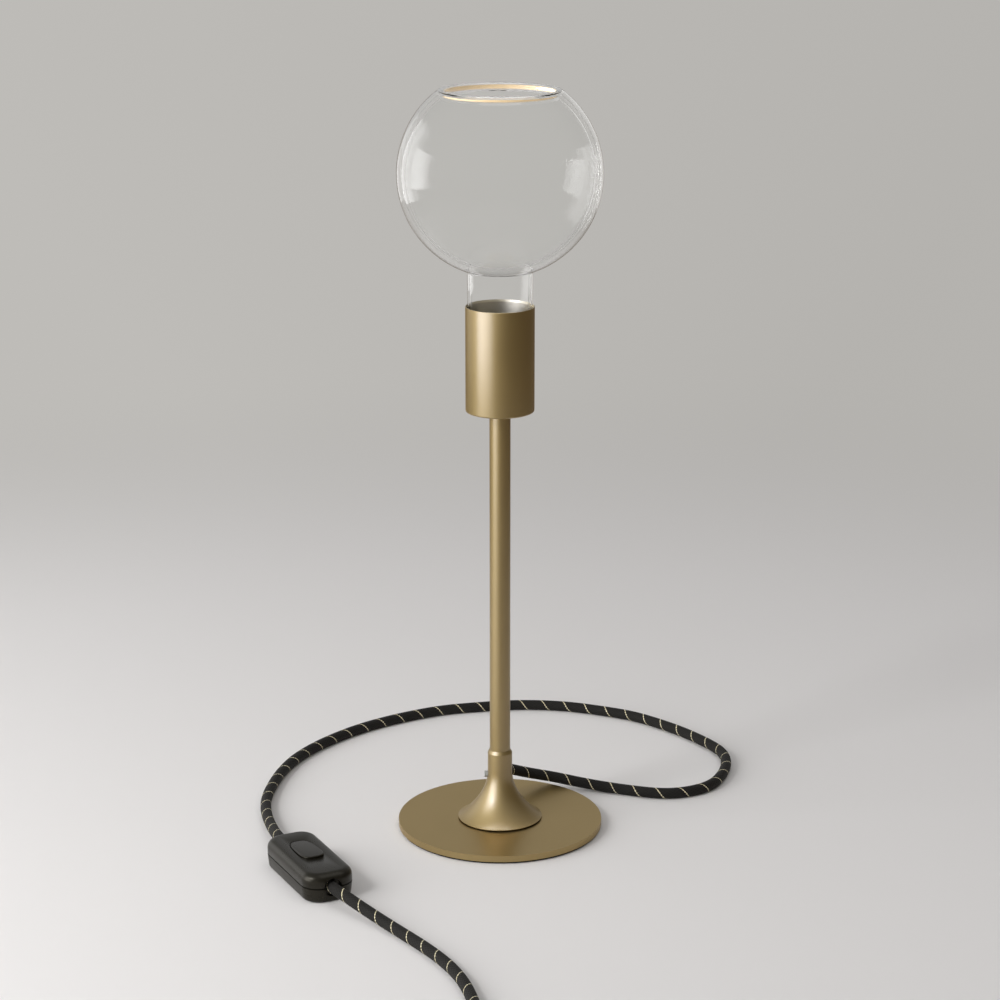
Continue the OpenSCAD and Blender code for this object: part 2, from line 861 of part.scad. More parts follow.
// Cable way through both shells, with its wider mouths
module cable_way() {
    translate([-switch_l, 0, switch_split])
        rotate([0, 90, 0])
            cylinder(r = cord_r + cord_gap, h = 2 * switch_l);
    for (x = [-1, 1])
        translate([x * (switch_l / 2 - mouth_depth), 0, switch_split])
            rotate([0, x * 90, 0])
                cylinder(r = mouth_r, h = switch_l);
}

module switch_base() {
    l = switch_l / 2 - switch_corner;
    w = switch_w / 2 - switch_corner;
    h = switch_split - shell_gap;
    foot_round = 1;
    color(black_plastic)
        at_switch()
            difference() {
                hull()
                    for (x = [-l, l], y = [-w, w])
                        translate([x, y, 0]) {
                            cylinder(
                                r = switch_corner - switch_draft - foot_round, h = 1, $fn = hull_fn
                            );
                            translate([0, 0, foot_round])
                                cylinder(r = switch_corner - switch_draft, h = 1, $fn = hull_fn);
                            translate([0, 0, h - 1])
                                cylinder(r = switch_corner, h = 1, $fn = hull_fn);
                        }
                translate([0, 0, switch_wall])
                    linear_extrude(switch_h)
                        round_rect(cavity_l, cavity_w, 3);
                cable_way();
            }
}

module switch_cover() {
    l = switch_l / 2 - switch_corner;
    w = switch_w / 2 - switch_corner;
    color(black_plastic)
        at_switch()
            difference() {
                hull()
                    for (x = [-l, l], y = [-w, w])
                        translate([x, y, 0]) {
                            translate([0, 0, switch_split])
                                cylinder(r = switch_corner, h = 1, $fn = hull_fn);
                            translate([0, 0, switch_h - switch_edge])
                                rotate_extrude($fn = hull_fn)
                                    translate([switch_corner - switch_edge, 0])
                                        intersection() {
                                            circle(switch_edge, $fn = hull_fn);
                                            square(2 * switch_edge);
                                        }
                        }
                translate([0, 0, switch_split - cut])
                    linear_extrude(cavity_top - switch_split + cut)
                        round_rect(cavity_l, cavity_w, 3);
                translate([-button_shift, 0, 0])
                    linear_extrude(2 * switch_h)
                        round_rect(
                            button_l + 2 * button_gap, button_w + 2 * button_gap, button_corner
                        );
                cable_way();
            }
}

module switch_button() {
    dish_r = 90;
    dish_depth = 0.5;
    color(black_plastic)
        at_switch()
            difference() {
                union() {
                    translate([-button_shift, 0, flange_bottom])
                        linear_extrude(button_top - flange_bottom)
                            round_rect(button_l, button_w, button_corner - button_gap);
                    translate([-button_shift, 0, flange_bottom])
                        linear_extrude(flange_t)
                            round_rect(
                                button_l + 2 * flange_lip, button_w + 2 * flange_lip,
                                button_corner
                            );
                }
                translate([-button_shift, 0, button_top - dish_depth + dish_r])
                    sphere(dish_r);
            }
}

// Return spring of the button, one turn of wire after another
module switch_spring() {
    per_turn = 10;
    steps = spring_turns * per_turn;
    low = spring_bottom + spring_wire_r;
    high = spring_top - spring_wire_r - 0.1;
    coil = [for (i = [0:steps]) let (a = 360 * i / per_turn)
        [spring_r * cos(a), spring_r * sin(a), low + (high - low) * i / steps]];
    color(steel)
        at_switch()
            tube(coil, spring_wire_r, 6);
}

module switch_block() {
    color(ceramic)
        at_switch()
            translate([-block_l / 2, -block_w / 2, switch_wall])
                difference() {
                    cube([block_l, block_w, block_top - switch_wall]);
                    for (y = [3, block_w - 3])
                        translate([-cut, y, (block_top - switch_wall) / 2])
                            rotate([0, 90, 0])
                                cylinder(r = core_r + 0.1, h = block_l + 2 * cut);
                }
}

// Two brass blades that the button bridges
module switch_contacts() {
    blade_w = 4;
    blade_top = flange_bottom - button_travel - 0.8;
    color(bright_brass)
        at_switch()
            for (x = [-1, 1])
                translate([x * (spring_r + 4.9), -blade_w / 2, block_top]) {
                    translate([-2, 0, 0])
                        cube([4, blade_w, 2.2]);
                    translate([-0.3, 0, 0])
                        cube([0.6, blade_w, blade_top - block_top]);
                }
}

// Cores between the two ends of the cord: two pass through, one is switched
module switch_cores() {
    reach = cord_reach - 0.6;
    side = block_w / 2 - 3;
    low = switch_wall + (block_top - switch_wall) / 2;
    color("#3f6fb0")
        at_switch() {
            for (y = [-1, 1]) {
                bar([-block_l / 2 - 2, y * side, low], [block_l / 2 + 2, y * side, low], core_r);
                for (x = [-1, 1])
                    bar(
                        [x * (block_l / 2 + 2), y * side, low],
                        [x * reach, y * 1.6, switch_split - 0.6],
                        core_r
                    );
            }
            for (x = [-1, 1])
                bar(
                    [x * reach, 0, switch_split + 1.9],
                    [x * (spring_r + 7.2), 0, block_top + core_r + 0.1],
                    core_r
                );
        }
}

// Clamp bars that hold the cord's sheath inside each end
module switch_grips() {
    grip_w = 14;
    grip_x = cavity_l / 2 - 2.2;
    bar_t = 3;
    cheek_w = 2;
    under_cord = switch_split - cord_r - 0.1;
    color(steel)
        at_switch()
            for (x = [-1, 1])
                translate([x * grip_x - bar_t / 2, -grip_w / 2, switch_wall]) {
                    cube([bar_t, grip_w, under_cord - switch_wall]);
                    for (y = [0, grip_w - cheek_w])
                        translate([0, y, 0])
                            cube([bar_t, cheek_w, switch_split - switch_wall - 1.5]);
                }
}

module switch_screws() {
    post_r = 2.2;
    color(steel)
        at_switch()
            for (x = [-1, 1])
                translate([x * (block_l / 2 + 4), -x * (cavity_w / 2 - 3.4), switch_wall])
                    difference() {
                        cylinder(r = post_r, h = cavity_top - switch_wall);
                        translate([-post_r, -0.3, -cut])
                            cube([2 * post_r, 0.6, cut + 0.7]);
                    }
}

// ---- Cord, from the switch to the plug ----

module cord_mains() {
    color(braid)
        tube(mains_route, cord_r, 8);
}

// Turns t of the coil, counted from its start: spiral in below, climb, spiral out above
function coil_point(t) =
    let (
        middle = coil_turns / 2,
        r = coil_r - coil_step * min(t, coil_turns - t),
        a = coil_start_angle + 360 * t,
        climb = max(0, min(1, (t - middle + 0.25) / 0.5))
    )
    [
        coil_centre[0] + r * cos(a),
        coil_centre[1] + r * sin(a),
        coil_low_z + coil_layer * (1 - cos(180 * climb)) / 2
    ];

coil_path = concat(
    [coil_point(0) + [0, lead_in, 0]],
    [for (i = [0:coil_rings]) coil_point(i / rings_per_turn)],
    [coil_point(coil_turns) + [lead_in, 0, 0]]
);

// Least gap between turns of the coil that are more than a third of a turn apart
coil_apart = rings_per_turn / 3;
coil_gap = min([for (i = [0:len(coil_path) - 1]) for (j = [i + coil_apart:1:len(coil_path) - 1])
    norm(coil_path[i] - coil_path[j])]) - cord_d;

module cord_coil() {
    echo(least_gap_of_coil = coil_gap);
    color(braid)
        tube(coil_path, cord_r, 6, 30);
}

module cord_tail() {
    color(braid)
        tube(tail_route, cord_r, 8);
}

// ---- Plug ----

// Puts a piece turned about Z on the plug's axis, with its height along +X
module on_plug(x) {
    translate([x, plug_y, plug_z])
        rotate([0, 90, 0])
            children();
}

// Tapered strain relief with its flexing grooves
module plug_relief() {
    grooves = 5;
    groove_step = relief_l / (grooves + 2);
    color(black_plastic)
        on_plug(tail_end_x)
            difference() {
                turned([
                    [0, 0], [relief_r - 0.5, 0], [relief_r, 0.5],
                    [relief_r + 3.2, relief_l], [0, relief_l]
                ]);
                for (i = [1:grooves])
                    translate([0, 0, i * groove_step])
                        washer(2 * relief_r, relief_r - 0.4 + 2.6 * i / grooves, 1.6);
            }
}

module plug_body() {
    grip_r = 12.5;
    clip_w = 9;
    clip_cut = 2.2;
    clip_l = 17;
    earth_hole_r = 2.6;
    color(black_plastic)
        on_plug(plug_back)
            difference() {
                turned(concat(
                    [[0, 0]],
                    arc([relief_r + 4.2, 3], 3, -90, 0, 6),
                    [[grip_r, 6], [grip_r, plug_l * 0.4]],
                    arc([plug_r - 2.5, plug_l * 0.62], 2.5, 120, 0, 8),
                    [[plug_r, plug_l - 1], [plug_r - 1, plug_l], [0, plug_l]]
                ));
                for (y = [-1, 1])
                    translate([y * (plug_r - clip_cut / 2 + 1), 0, plug_l])
                        cube([clip_cut + 2, clip_w, 2 * clip_l], center = true);
                translate([0, 0, plug_l - 15])
                    translate([-9.5, 0, 0])
                        cylinder(r = earth_hole_r, h = 15 + cut);
            }
}

module plug_pins() {
    pin_nose = 1;
    color(steel)
        for (y = [-1, 1])
            translate([0, y * pin_spacing / 2, 0])
                on_plug(plug_face)
                    turned([
                        [0, 0], [pin_r, 0], [pin_r, pin_l - pin_nose],
                        [pin_r - pin_nose, pin_l], [0, pin_l]
                    ]);
}

module plug_earth_clips() {
    clip_t = 0.8;
    clip_w = 6;
    clip_l = 15;
    seat = plug_r - 2.1;
    color(bright_brass)
        for (x = [-1, 1])
            on_plug(plug_face - 16)
                translate([x * (seat + clip_t / 2 - 0.05), 0, clip_l / 2])
                    cube([clip_t, clip_w, clip_l], center = true);
}

base_plate();
base_pad();
base_washer();
base_nut();
base_stud();
foot_gasket();
trumpet_foot();
cord_grip_screw();
cord_bush();
cord_end();
live_core();
neutral_core();
earth_core();
stem_tube();
top_nipple();
socket_cup();
tooth_washer();
earth_tag();
cup_nut();
holder_base();
holder_carrier();
holder_terminals();
centre_contact();
holder_sleeve();
holder_skirt();
bulb_glass();
light_strip();
strip_leads();
bulb_cap();
cap_insulator();
cap_contact();
bulb_driver();
cord_lamp();
switch_base();
switch_cover();
switch_button();
switch_spring();
switch_block();
switch_contacts();
switch_cores();
switch_grips();
switch_screws();
cord_mains();
cord_coil();
cord_tail();
plug_relief();
plug_body();
plug_pins();
plug_earth_clips();
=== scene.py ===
"""Dresses the bare bulb table lamp: brass, blown glass, braided cord, inline switch and plug.

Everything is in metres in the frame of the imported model: +Z up, the viewer towards -Y, the origin
on the table under the middle of the base disc. The cords' routes alone are in millimetres.
"""

from __future__ import annotations

import json
import logging
import math
from dataclasses import dataclass
from enum import Enum
from typing import Callable, Iterable, Sequence

import bmesh
import bpy
import numpy as np
from mathutils import Matrix, Vector

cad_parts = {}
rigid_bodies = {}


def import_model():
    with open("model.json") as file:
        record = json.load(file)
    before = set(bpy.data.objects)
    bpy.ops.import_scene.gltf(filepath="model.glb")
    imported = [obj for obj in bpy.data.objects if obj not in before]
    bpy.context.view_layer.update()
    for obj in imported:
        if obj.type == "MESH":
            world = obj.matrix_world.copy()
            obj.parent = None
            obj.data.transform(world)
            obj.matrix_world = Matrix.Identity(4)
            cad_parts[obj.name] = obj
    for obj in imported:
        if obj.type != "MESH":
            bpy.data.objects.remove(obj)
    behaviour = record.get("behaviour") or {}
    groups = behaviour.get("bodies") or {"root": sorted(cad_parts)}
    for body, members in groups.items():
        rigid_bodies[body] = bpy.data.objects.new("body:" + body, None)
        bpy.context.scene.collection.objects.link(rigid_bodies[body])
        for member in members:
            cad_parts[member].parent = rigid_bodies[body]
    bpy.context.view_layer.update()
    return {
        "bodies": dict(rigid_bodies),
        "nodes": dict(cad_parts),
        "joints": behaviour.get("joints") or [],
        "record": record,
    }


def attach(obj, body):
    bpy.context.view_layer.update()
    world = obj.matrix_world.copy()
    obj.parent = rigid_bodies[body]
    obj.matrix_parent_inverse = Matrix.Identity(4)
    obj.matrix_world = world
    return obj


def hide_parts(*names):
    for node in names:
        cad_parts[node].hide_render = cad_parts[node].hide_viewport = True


log = logging.getLogger("lamp")

MM = 0.001
TINY = 1e-6
FULL_TURN = 2 * math.pi
SWITCH_TURN = math.radians(-63.3)

Point2 = tuple[float, float]
Point3 = tuple[float, float, float]
Colour = tuple[float, float, float, float]
Mesh = bmesh.types.BMesh
Piece = bpy.types.Object
Material = bpy.types.Material


def srgb(*channels: float) -> Colour:
    """Turns a screen colour into the linear colour that a shader takes.

    Args:
        channels: Red, green and blue on the screen, of 0 to 255.

    Returns:
        The linear colour, with an alpha of 1.
    """
    shares = [channel / 255 for channel in channels]
    linear = [c / 12.92 if c <= 0.04045 else ((c + 0.055) / 1.055) ** 2.4 for c in shares]
    return (*linear, 1.0)


# ---- Shaders ----


class Wire:
    """An output socket of a shader tree that can stand in sums and products."""

    def __init__(self, tree: bpy.types.NodeTree, socket: bpy.types.NodeSocket) -> None:
        """Keeps the tree and the socket."""
        self.tree = tree
        self.socket = socket

    def math(self, operation: str, other: "Wire | float | None" = None,
             swap: bool = False) -> "Wire":
        """Adds a Math node to the tree.

        Args:
            operation: The node's operation.
            other: The second value, or None for an operation on one value.
            swap: Whether the other value comes first.

        Returns:
            The node's result.
        """
        node = self.tree.nodes.new("ShaderNodeMath")
        node.operation = operation
        values = [self] if other is None else [other, self] if swap else [self, other]
        for slot, value in zip(node.inputs, values):
            feed(slot, value)
        return Wire(self.tree, node.outputs[0])

    def __add__(self, other: "Wire | float") -> "Wire":
        """Adds."""
        return self.math("ADD", other)

    __radd__ = __add__

    def __sub__(self, other: "Wire | float") -> "Wire":
        """Subtracts."""
        return self.math("SUBTRACT", other)

    def __rsub__(self, other: float) -> "Wire":
        """Subtracts this from a number."""
        return self.math("SUBTRACT", other, swap=True)

    def __mul__(self, other: "Wire | float") -> "Wire":
        """Multiplies."""
        return self.math("MULTIPLY", other)

    __rmul__ = __mul__

    def __truediv__(self, other: "Wire | float") -> "Wire":
        """Divides."""
        return self.math("DIVIDE", other)

    def __gt__(self, other: "Wire | float") -> "Wire":
        """Gives 1 where this is greater, else 0."""
        return self.math("GREATER_THAN", other)


def feed(slot: bpy.types.NodeSocket, value: object) -> None:
    """Links a wire to an input socket, or sets the socket's own value.

    Args:
        slot: The input socket.
        value: The wire or the value.
    """
    if isinstance(value, Wire):
        value.tree.links.new(value.socket, slot)
    else:
        slot.default_value = value


class Bench:
    """The node tree of one material or world, while it is being made."""

    def __init__(self, owner: Material | bpy.types.World) -> None:
        """Empties the tree of a material or world.

        Args:
            owner: The material or world.
        """
        self.owner = owner
        owner.use_nodes = True
        self.tree = owner.node_tree
        self.tree.nodes.clear()

    def node(self, kind: str, settings: dict | None = None, sockets: dict | None = None,
             out: str | int = 0) -> Wire:
        """Adds any node.

        Args:
            kind: The node's type, without its ShaderNode.
            settings: Its settings, set first; "stops" fills a colour ramp.
            sockets: Values or wires for its sockets, by name or number.
            out: The output to give back, by name or number.

        Returns:
            The output.
        """
        node = self.tree.nodes.new("ShaderNode" + kind)
        for key, value in (settings or {}).items():
            if key == "stops":
                ramp = node.color_ramp.elements
                while len(ramp) < len(value):
                    ramp.new(0.5)
                for stop, (place, colour) in zip(ramp, value):
                    stop.position, stop.color = place, colour
            else:
                setattr(node, key, value)
        for key, value in (sockets or {}).items():
            feed(node.inputs[key], value)
        return Wire(self.tree, node.outputs[out])

    def place(self, scale: Point3 = (1, 1, 1), source: str = "Object") -> Wire:
        """Gives the place that a pattern is drawn by, made finer by a scale on each axis."""
        place = self.node("TexCoord", out=source)
        return self.node("Mapping", {}, {"Vector": place, "Scale": scale})

    def noise(self, place: Wire, scale: float, detail: float, rough: float) -> Wire:
        """Gives a noise of about 0 to 1, with so many features to a metre and so many octaves."""
        return self.node("TexNoise", {}, {"Vector": place, "Scale": scale, "Detail": detail,
                                          "Roughness": rough})

    def ease(self, value: Wire, low: float, high: float) -> Wire:
        """Gives what rises smoothly from 0 to 1 between two values."""
        return self.node("MapRange", {"interpolation_type": "SMOOTHSTEP"},
                         {"Value": value, "From Min": low, "From Max": high})

    def split(self, vector: Wire) -> tuple[Wire, ...]:
        """Gives the three parts of a vector."""
        parts = self.node("SeparateXYZ", {}, {0: vector}).socket.node.outputs
        return tuple(Wire(self.tree, part) for part in parts)

    def join(self, x: Wire | float, y: Wire | float, z: Wire | float) -> Wire:
        """Makes a vector of three parts."""
        return self.node("CombineXYZ", {}, {0: x, 1: y, 2: z})

    def mix(self, share: Wire | float, low: Wire | Colour, high: Wire | Colour) -> Wire:
        """Mixes two colours, by the share of the second."""
        # The Mix node's sockets share their names, so they go by number.
        return self.node("Mix", {"data_type": "RGBA"}, {0: share, 6: low, 7: high}, out=2)

    def bump(self, height: Wire, distance: float, strength: float = 1.0) -> Wire:
        """Gives the normal of a surface whose height of 1 is a distance in metres."""
        return self.node("Bump", {}, {"Height": height, "Distance": distance, "Strength": strength})

    def surface(self, **sockets: object) -> Material:
        """Ends the material in a Principled shader, its sockets named with _ for each space."""
        named = {key.replace("_", " "): value for key, value in sockets.items()}
        return self.end(self.node("BsdfPrincipled", {}, named))

    def end(self, shader: Wire, kind: str = "OutputMaterial") -> Material | bpy.types.World:
        """Ends the tree in any shader, and gives the material or world."""
        feed(self.tree.nodes.new("ShaderNode" + kind).inputs[0], shader)
        return self.owner


# ---- Finishes ----


@dataclass(frozen=True)
class Finish:
    """A look of one material, under the name that the material gets."""

    name: str

    def bench(self) -> Bench:
        """Starts the material."""
        return Bench(bpy.data.materials.new(self.name))

    def make(self) -> Material:
        """Makes the material, in each finish in its own way."""
        raise NotImplementedError


class Brushing(Enum):
    """The way in which a brass piece was brushed."""

    DISC = "rings on a flat face"
    TURNED = "rings round an axis"
    DRAWN = "lines along a tube"


@dataclass(frozen=True)
class SatinBrass(Finish):
    """Finely brushed brass under a satin lacquer."""

    brushing: Brushing
    colour: Colour = (0.300, 0.205, 0.062, 1)
    worn: Colour = (0.350, 0.245, 0.080, 1)
    edge: Colour = (0.88, 0.74, 0.50, 1)
    roughness: float = 0.54
    lacquer: float = 1.0
    lacquer_rough: float = 0.31
    lacquer_index: float = 1.75
    grain: float = 4000.0
    streak: float = 60.0
    relief: float = 0.9e-5

    def make(self) -> Material:
        """Makes the material.

        Returns:
            The material.
        """
        b = self.bench()
        place = b.place()
        x, y, z = b.split(place)
        radius = (x * x + y * y).math("SQRT")
        # The terms with small factors let the lines break up slowly round the piece.
        if self.brushing is Brushing.DISC:
            track = b.join(radius * self.grain, z * self.grain, x * 9.0 + y * 5.0)
        elif self.brushing is Brushing.TURNED:
            track = b.join(z * self.grain, radius * self.streak, x * 14.0 + y * 9.0)
        else:
            track = b.join(x * self.grain, y * self.grain, z * self.streak)
        lines = b.noise(track, 1.0, 3.0, 0.6)
        cloud = b.noise(place, 42.0, 3.0, 0.55)
        speck = b.noise(place, 900.0, 2.0, 0.5)
        tone = b.mix(cloud * 0.5 + lines * 0.3, self.colour, self.worn)
        return b.surface(
            Base_Color=tone, Metallic=1.0,
            Roughness=self.roughness + (cloud - 0.5) * 0.10 + (lines - 0.5) * 0.10,
            Specular_Tint=self.edge, Coat_Weight=self.lacquer,
            Coat_Roughness=self.lacquer_rough, Coat_IOR=self.lacquer_index,
            Normal=b.bump(lines * 0.8 + speck * 0.35, self.relief),
        )


@dataclass(frozen=True)
class PlainMetal(Finish):
    """Plated or pressed metal of small parts."""

    colour: Colour
    roughness: float
    grain: float = 1500.0
    relief: float = 1e-5

    def make(self) -> Material:
        """Makes the material.

        Returns:
            The material.
        """
        b = self.bench()
        place = b.place()
        grain = b.noise(place, self.grain, 3.0, 0.6)
        cloud = b.noise(place, 120.0, 2.0, 0.5)
        dull = tuple(c * 0.8 for c in self.colour[:3]) + (1,)
        return b.surface(
            Base_Color=b.mix(cloud, dull, self.colour), Metallic=1.0,
            Roughness=self.roughness + (grain - 0.5) * 0.2,
            Normal=b.bump(grain, self.relief),
        )


@dataclass(frozen=True)
class Moulded(Finish):
    """Moulded plastic, rubber or ceramic with a fine texture."""

    colour: Colour
    roughness: float
    grain: float = 2200.0
    relief: float = 2e-5
    coat: float = 0.0
    sheen: float = 0.5
    tint: Colour = (1.0, 1.0, 1.0, 1)

    def make(self) -> Material:
        """Makes the material.

        Returns:
            The material.
        """
        b = self.bench()
        place = b.place()
        grain = b.noise(place, self.grain, 2.0, 0.5)
        cloud = b.noise(place, 60.0, 2.0, 0.5)
        pale = tuple(min(1.0, c * 1.25 + 0.002) for c in self.colour[:3]) + (1,)
        return b.surface(
            Base_Color=b.mix(cloud, self.colour, pale),
            Roughness=self.roughness + (cloud - 0.5) * 0.12 + (grain - 0.5) * 0.06,
            Coat_Weight=self.coat, Specular_IOR_Level=self.sheen, Specular_Tint=self.tint,
            Normal=b.bump(grain, self.relief),
        )


@dataclass(frozen=True)
class BlownGlass(Finish):
    """Clear soda glass with a faint wave in it."""

    index: float
    coat: float = 0.0
    coat_index: float = 2.2

    def make(self) -> Material:
        """Makes the material.

        Returns:
            The material.
        """
        b = self.bench()
        wave = b.noise(b.place(scale=(1, 1, 0.5)), 24.0, 1.0, 0.4)
        return b.surface(
            Base_Color=(0.998, 1.0, 0.999, 1), Roughness=0.0, IOR=self.index,
            Transmission_Weight=1.0, Coat_Weight=self.coat, Coat_Roughness=0.05,
            Coat_IOR=self.coat_index, Normal=b.bump(wave, 2e-4, 0.03),
        )


@dataclass(frozen=True)
class AmberStrip(Finish):
    """Silicone-coated light strip, unlit, with its row of chips showing through and a faint painted
    glow in its own colour, though it is no lamp.
    """

    name: str = "amber_strip"
    chips: float = 180.0

    def make(self) -> Material:
        """Makes the material.

        Returns:
            The material.
        """
        b = self.bench()
        x, y, _ = b.split(b.place())
        chip = (y.math("ARCTAN2", x) * self.chips).math("SINE") * 0.5 + 0.5
        tone = b.mix(chip, srgb(226, 194, 146), srgb(242, 216, 174))
        # The emission is a painted glow: the strip is unlit, yet its colour glows faintly.
        return b.surface(
            Base_Color=tone, Roughness=0.35, Coat_Weight=0.3, Emission_Color=tone,
            Emission_Strength=0.2, Normal=b.bump(chip, 5e-5),
        )


@dataclass(frozen=True)
class Braid(Finish):
    """Black textile braid, read from the cord's own UV map: round it, then along it."""

    name: str = "black_braid"
    carriers: float = 12.0
    picks: float = 330.0

    def make(self) -> Material:
        """Makes the material.

        Returns:
            The material.
        """
        b = self.bench()
        u, v, _ = b.split(b.place(source="UV"))

        def strands(side: float) -> Wire:
            """Gives the yarns that wind to one side, highest at their middle."""
            wound = u * self.carriers + v * (self.picks * side)
            return (wound * FULL_TURN).math("SINE") * 0.5 + 0.5

        right, left = strands(1.0), strands(-1.0)
        over = right.math("MAXIMUM", left)
        under = right.math("MINIMUM", left)
        fibre = b.noise(b.join(u * 60.0, v * 900.0, 0.0), 6.0, 2.0, 0.6)
        weave = over * 0.8 + under * 0.2 + fibre * 0.25
        # The colour is darker where the yarns dip under and between them: painted shade in the
        # weave's gaps, with a random fibre tone on top.
        tone = b.mix(weave * 0.8, srgb(5, 5, 4), srgb(25, 22, 18))
        return b.surface(
            Base_Color=tone, Roughness=0.72 + fibre * 0.15,
            Sheen_Weight=0.03, Sheen_Roughness=0.4, Specular_IOR_Level=0.35,
            Normal=b.bump(weave, 1.6e-4, 0.9),
        )


@dataclass(frozen=True)
class GoldThread(Finish):
    """The single pale gold yarn in the braid."""

    name: str = "gold_thread"
    twists: float = 700.0

    def make(self) -> Material:
        """Makes the material.

        Returns:
            The material.
        """
        b = self.bench()
        u, v, _ = b.split(b.place(source="UV"))
        twist = ((u + v * self.twists) * FULL_TURN).math("SINE") * 0.5 + 0.5
        # Its colour is darker in the grooves of its twist: painted shade.
        return b.surface(
            Base_Color=b.mix(twist, srgb(206, 192, 146), srgb(240, 232, 200)), Roughness=0.42,
            Sheen_Weight=0.3, Normal=b.bump(twist, 5e-5),
        )


# ---- Shapes ----


ROD_SIDES = 48
BEVEL_ANGLE = math.radians(40)
BEVEL_STEPS = 2
FINE_STEPS = 8


class Outline:
    """A half section in the XZ plane, drawn line by line and arc by arc."""

    LEAST_TURN = math.radians(12.0)

    def __init__(self, radius: float, height: float) -> None:
        """Starts the outline at a point."""
        self.bm = bmesh.new()
        self.tip = self.first = self.bm.verts.new((radius, 0, height))

    def to(self, *points: Point2) -> "Outline":
        """Draws lines through some points.

        Args:
            points: Radius and height of each.

        Returns:
            The outline.
        """
        for radius, height in points:
            vert = self.bm.verts.new((radius, 0, height))
            self.bm.edges.new((self.tip, vert))
            self.tip = vert
        return self

    def arc(self, centre: Point2, degrees: float, steps: int) -> "Outline":
        """Draws an arc about a point.

        Args:
            centre: Radius and height of the arc's centre.
            degrees: How far it turns, from +X towards +Z.
            steps: Its number of edges.

        Returns:
            The outline.
        """
        made = bmesh.ops.spin(self.bm, geom=[self.tip], cent=(centre[0], 0, centre[1]),
                              axis=(0, -1, 0), angle=math.radians(degrees), steps=steps)
        self.tip = next(g for g in made["geom_last"] if isinstance(g, bmesh.types.BMVert))
        return self

    def close(self) -> "Outline":
        """Draws a line back to the start."""
        self.bm.edges.new((self.tip, self.first))
        return self

    def soften(self, offset: float, segments: int, low: float, high: float) -> "Outline":
        """Rounds the corners between two heights.

        Args:
            offset: How far the rounding reaches from each corner.
            segments: Edges of each rounding.
            low: Lowest height of a corner to round.
            high: Highest height of a corner to round.

        Returns:
            The outline.
        """
        corners = []
        for vert in self.bm.verts:
            if len(vert.link_edges) == 2 and low <= vert.co.z <= high:
                a, c = (e.other_vert(vert).co - vert.co for e in vert.link_edges)
                if a.angle(-c, 0.0) > self.LEAST_TURN:
                    corners.append(vert)
        bmesh.ops.bevel(self.bm, geom=corners, offset=offset, segments=segments, profile=0.5,
                        affect="VERTICES", material=-1)
        return self

    def turned(self, steps: int) -> Mesh:
        """Spins the outline about Z into a closed skin.

        Args:
            steps: Number of faces round the axis.

        Returns:
            The skin, with its normals out.
        """
        bm = self.bm
        bmesh.ops.spin(bm, geom=bm.verts[:] + bm.edges[:], cent=(0, 0, 0), axis=(0, 0, 1),
                       angle=FULL_TURN, steps=steps, use_merge=True)
        bmesh.ops.remove_doubles(bm, verts=bm.verts[:], dist=TINY)
        bmesh.ops.recalc_face_normals(bm, faces=bm.faces[:])
        return bm


def paint(bm: Mesh, choose: Callable[[float, float], int]) -> Mesh:
    """Gives each face of a turned skin its material.

    Args:
        bm: The skin.
        choose: Gives a face's material index from its radius and height.

    Returns:
        The skin.
    """
    for face in bm.faces:
        spot = face.calc_center_median()
        face.material_index = choose(math.hypot(spot.x, spot.y), spot.z)
    return bm


def stand(name: str, bm: Mesh) -> Piece:
    """Puts a mesh in the scene as an object.

    Args:
        name: The object's name.
        bm: The mesh, which is freed.

    Returns:
        The object.
    """
    mesh = bpy.data.meshes.new(name)
    bm.to_mesh(mesh)
    bm.free()
    obj = bpy.data.objects.new(name, mesh)
    bpy.context.scene.collection.objects.link(obj)
    return obj


def smooth(bm: Mesh, crease: float) -> None:
    """Shades a mesh smooth, apart from its sharper edges.

    Args:
        bm: The mesh.
        crease: Least angle of an edge that stays sharp, in degrees.
    """
    for face in bm.faces:
        face.smooth = True
    for edge in bm.edges:
        edge.smooth = edge.calc_face_angle(0.0) < math.radians(crease)


def merge(target: Mesh, part: Mesh) -> None:
    """Adds a mesh to another, and frees it.

    Args:
        target: The mesh that grows.
        part: The mesh that is added.
    """
    spare = bpy.data.meshes.new("spare")
    part.to_mesh(spare)
    part.free()
    target.from_mesh(spare)
    bpy.data.meshes.remove(spare)


def bevel(bm: Mesh, edges: Sequence[bmesh.types.BMEdge], offset: float, segments: int) -> None:
    """Rounds some edges of a mesh."""
    bmesh.ops.bevel(bm, geom=edges, offset=offset, segments=segments, profile=0.5,
                    affect="EDGES", material=-1)


def bevel_level(bm: Mesh, height: float, offset: float, segments: int) -> None:
    """Rounds the edges of a mesh that lie at one height."""
    level = [e for e in bm.edges if all(abs(v.co.z - height) < TINY for v in e.verts)]
    bevel(bm, level, offset, segments)


def block(size: Point3, centre: Point3, corner: float, steps: int) -> Mesh:
    """Makes a box with round upright corners.

    Args:
        size: Length, width and height.
        centre: Its centre.
        corner: Radius of the upright corners.
        steps: Faces of each upright corner.

    Returns:
        The box.
    """
    bm = bmesh.new()
    bmesh.ops.create_cube(bm, size=1.0, matrix=Matrix.LocRotScale(centre, None, size))
    upright = [e for e in bm.edges if abs((e.verts[0].co - e.verts[1].co).z) > size[2] * 0.9]
    bevel(bm, upright, corner, steps)
    return bm


def rod(start: Point3, end: Point3, radius: float) -> Mesh:
    """Makes a straight round rod.

    Args:
        start: Middle of its first end.
        end: Middle of its other end.
        radius: Its radius.

    Returns:
        The rod.
    """
    a, c = Vector(start), Vector(end)
    bm = bmesh.new()
    turn = (c - a).to_track_quat("Z", "Y")
    bmesh.ops.create_cone(bm, cap_ends=True, segments=ROD_SIDES, radius1=radius, radius2=radius,
                          depth=(c - a).length, matrix=Matrix.LocRotScale((a + c) / 2, turn, None))
    return bm


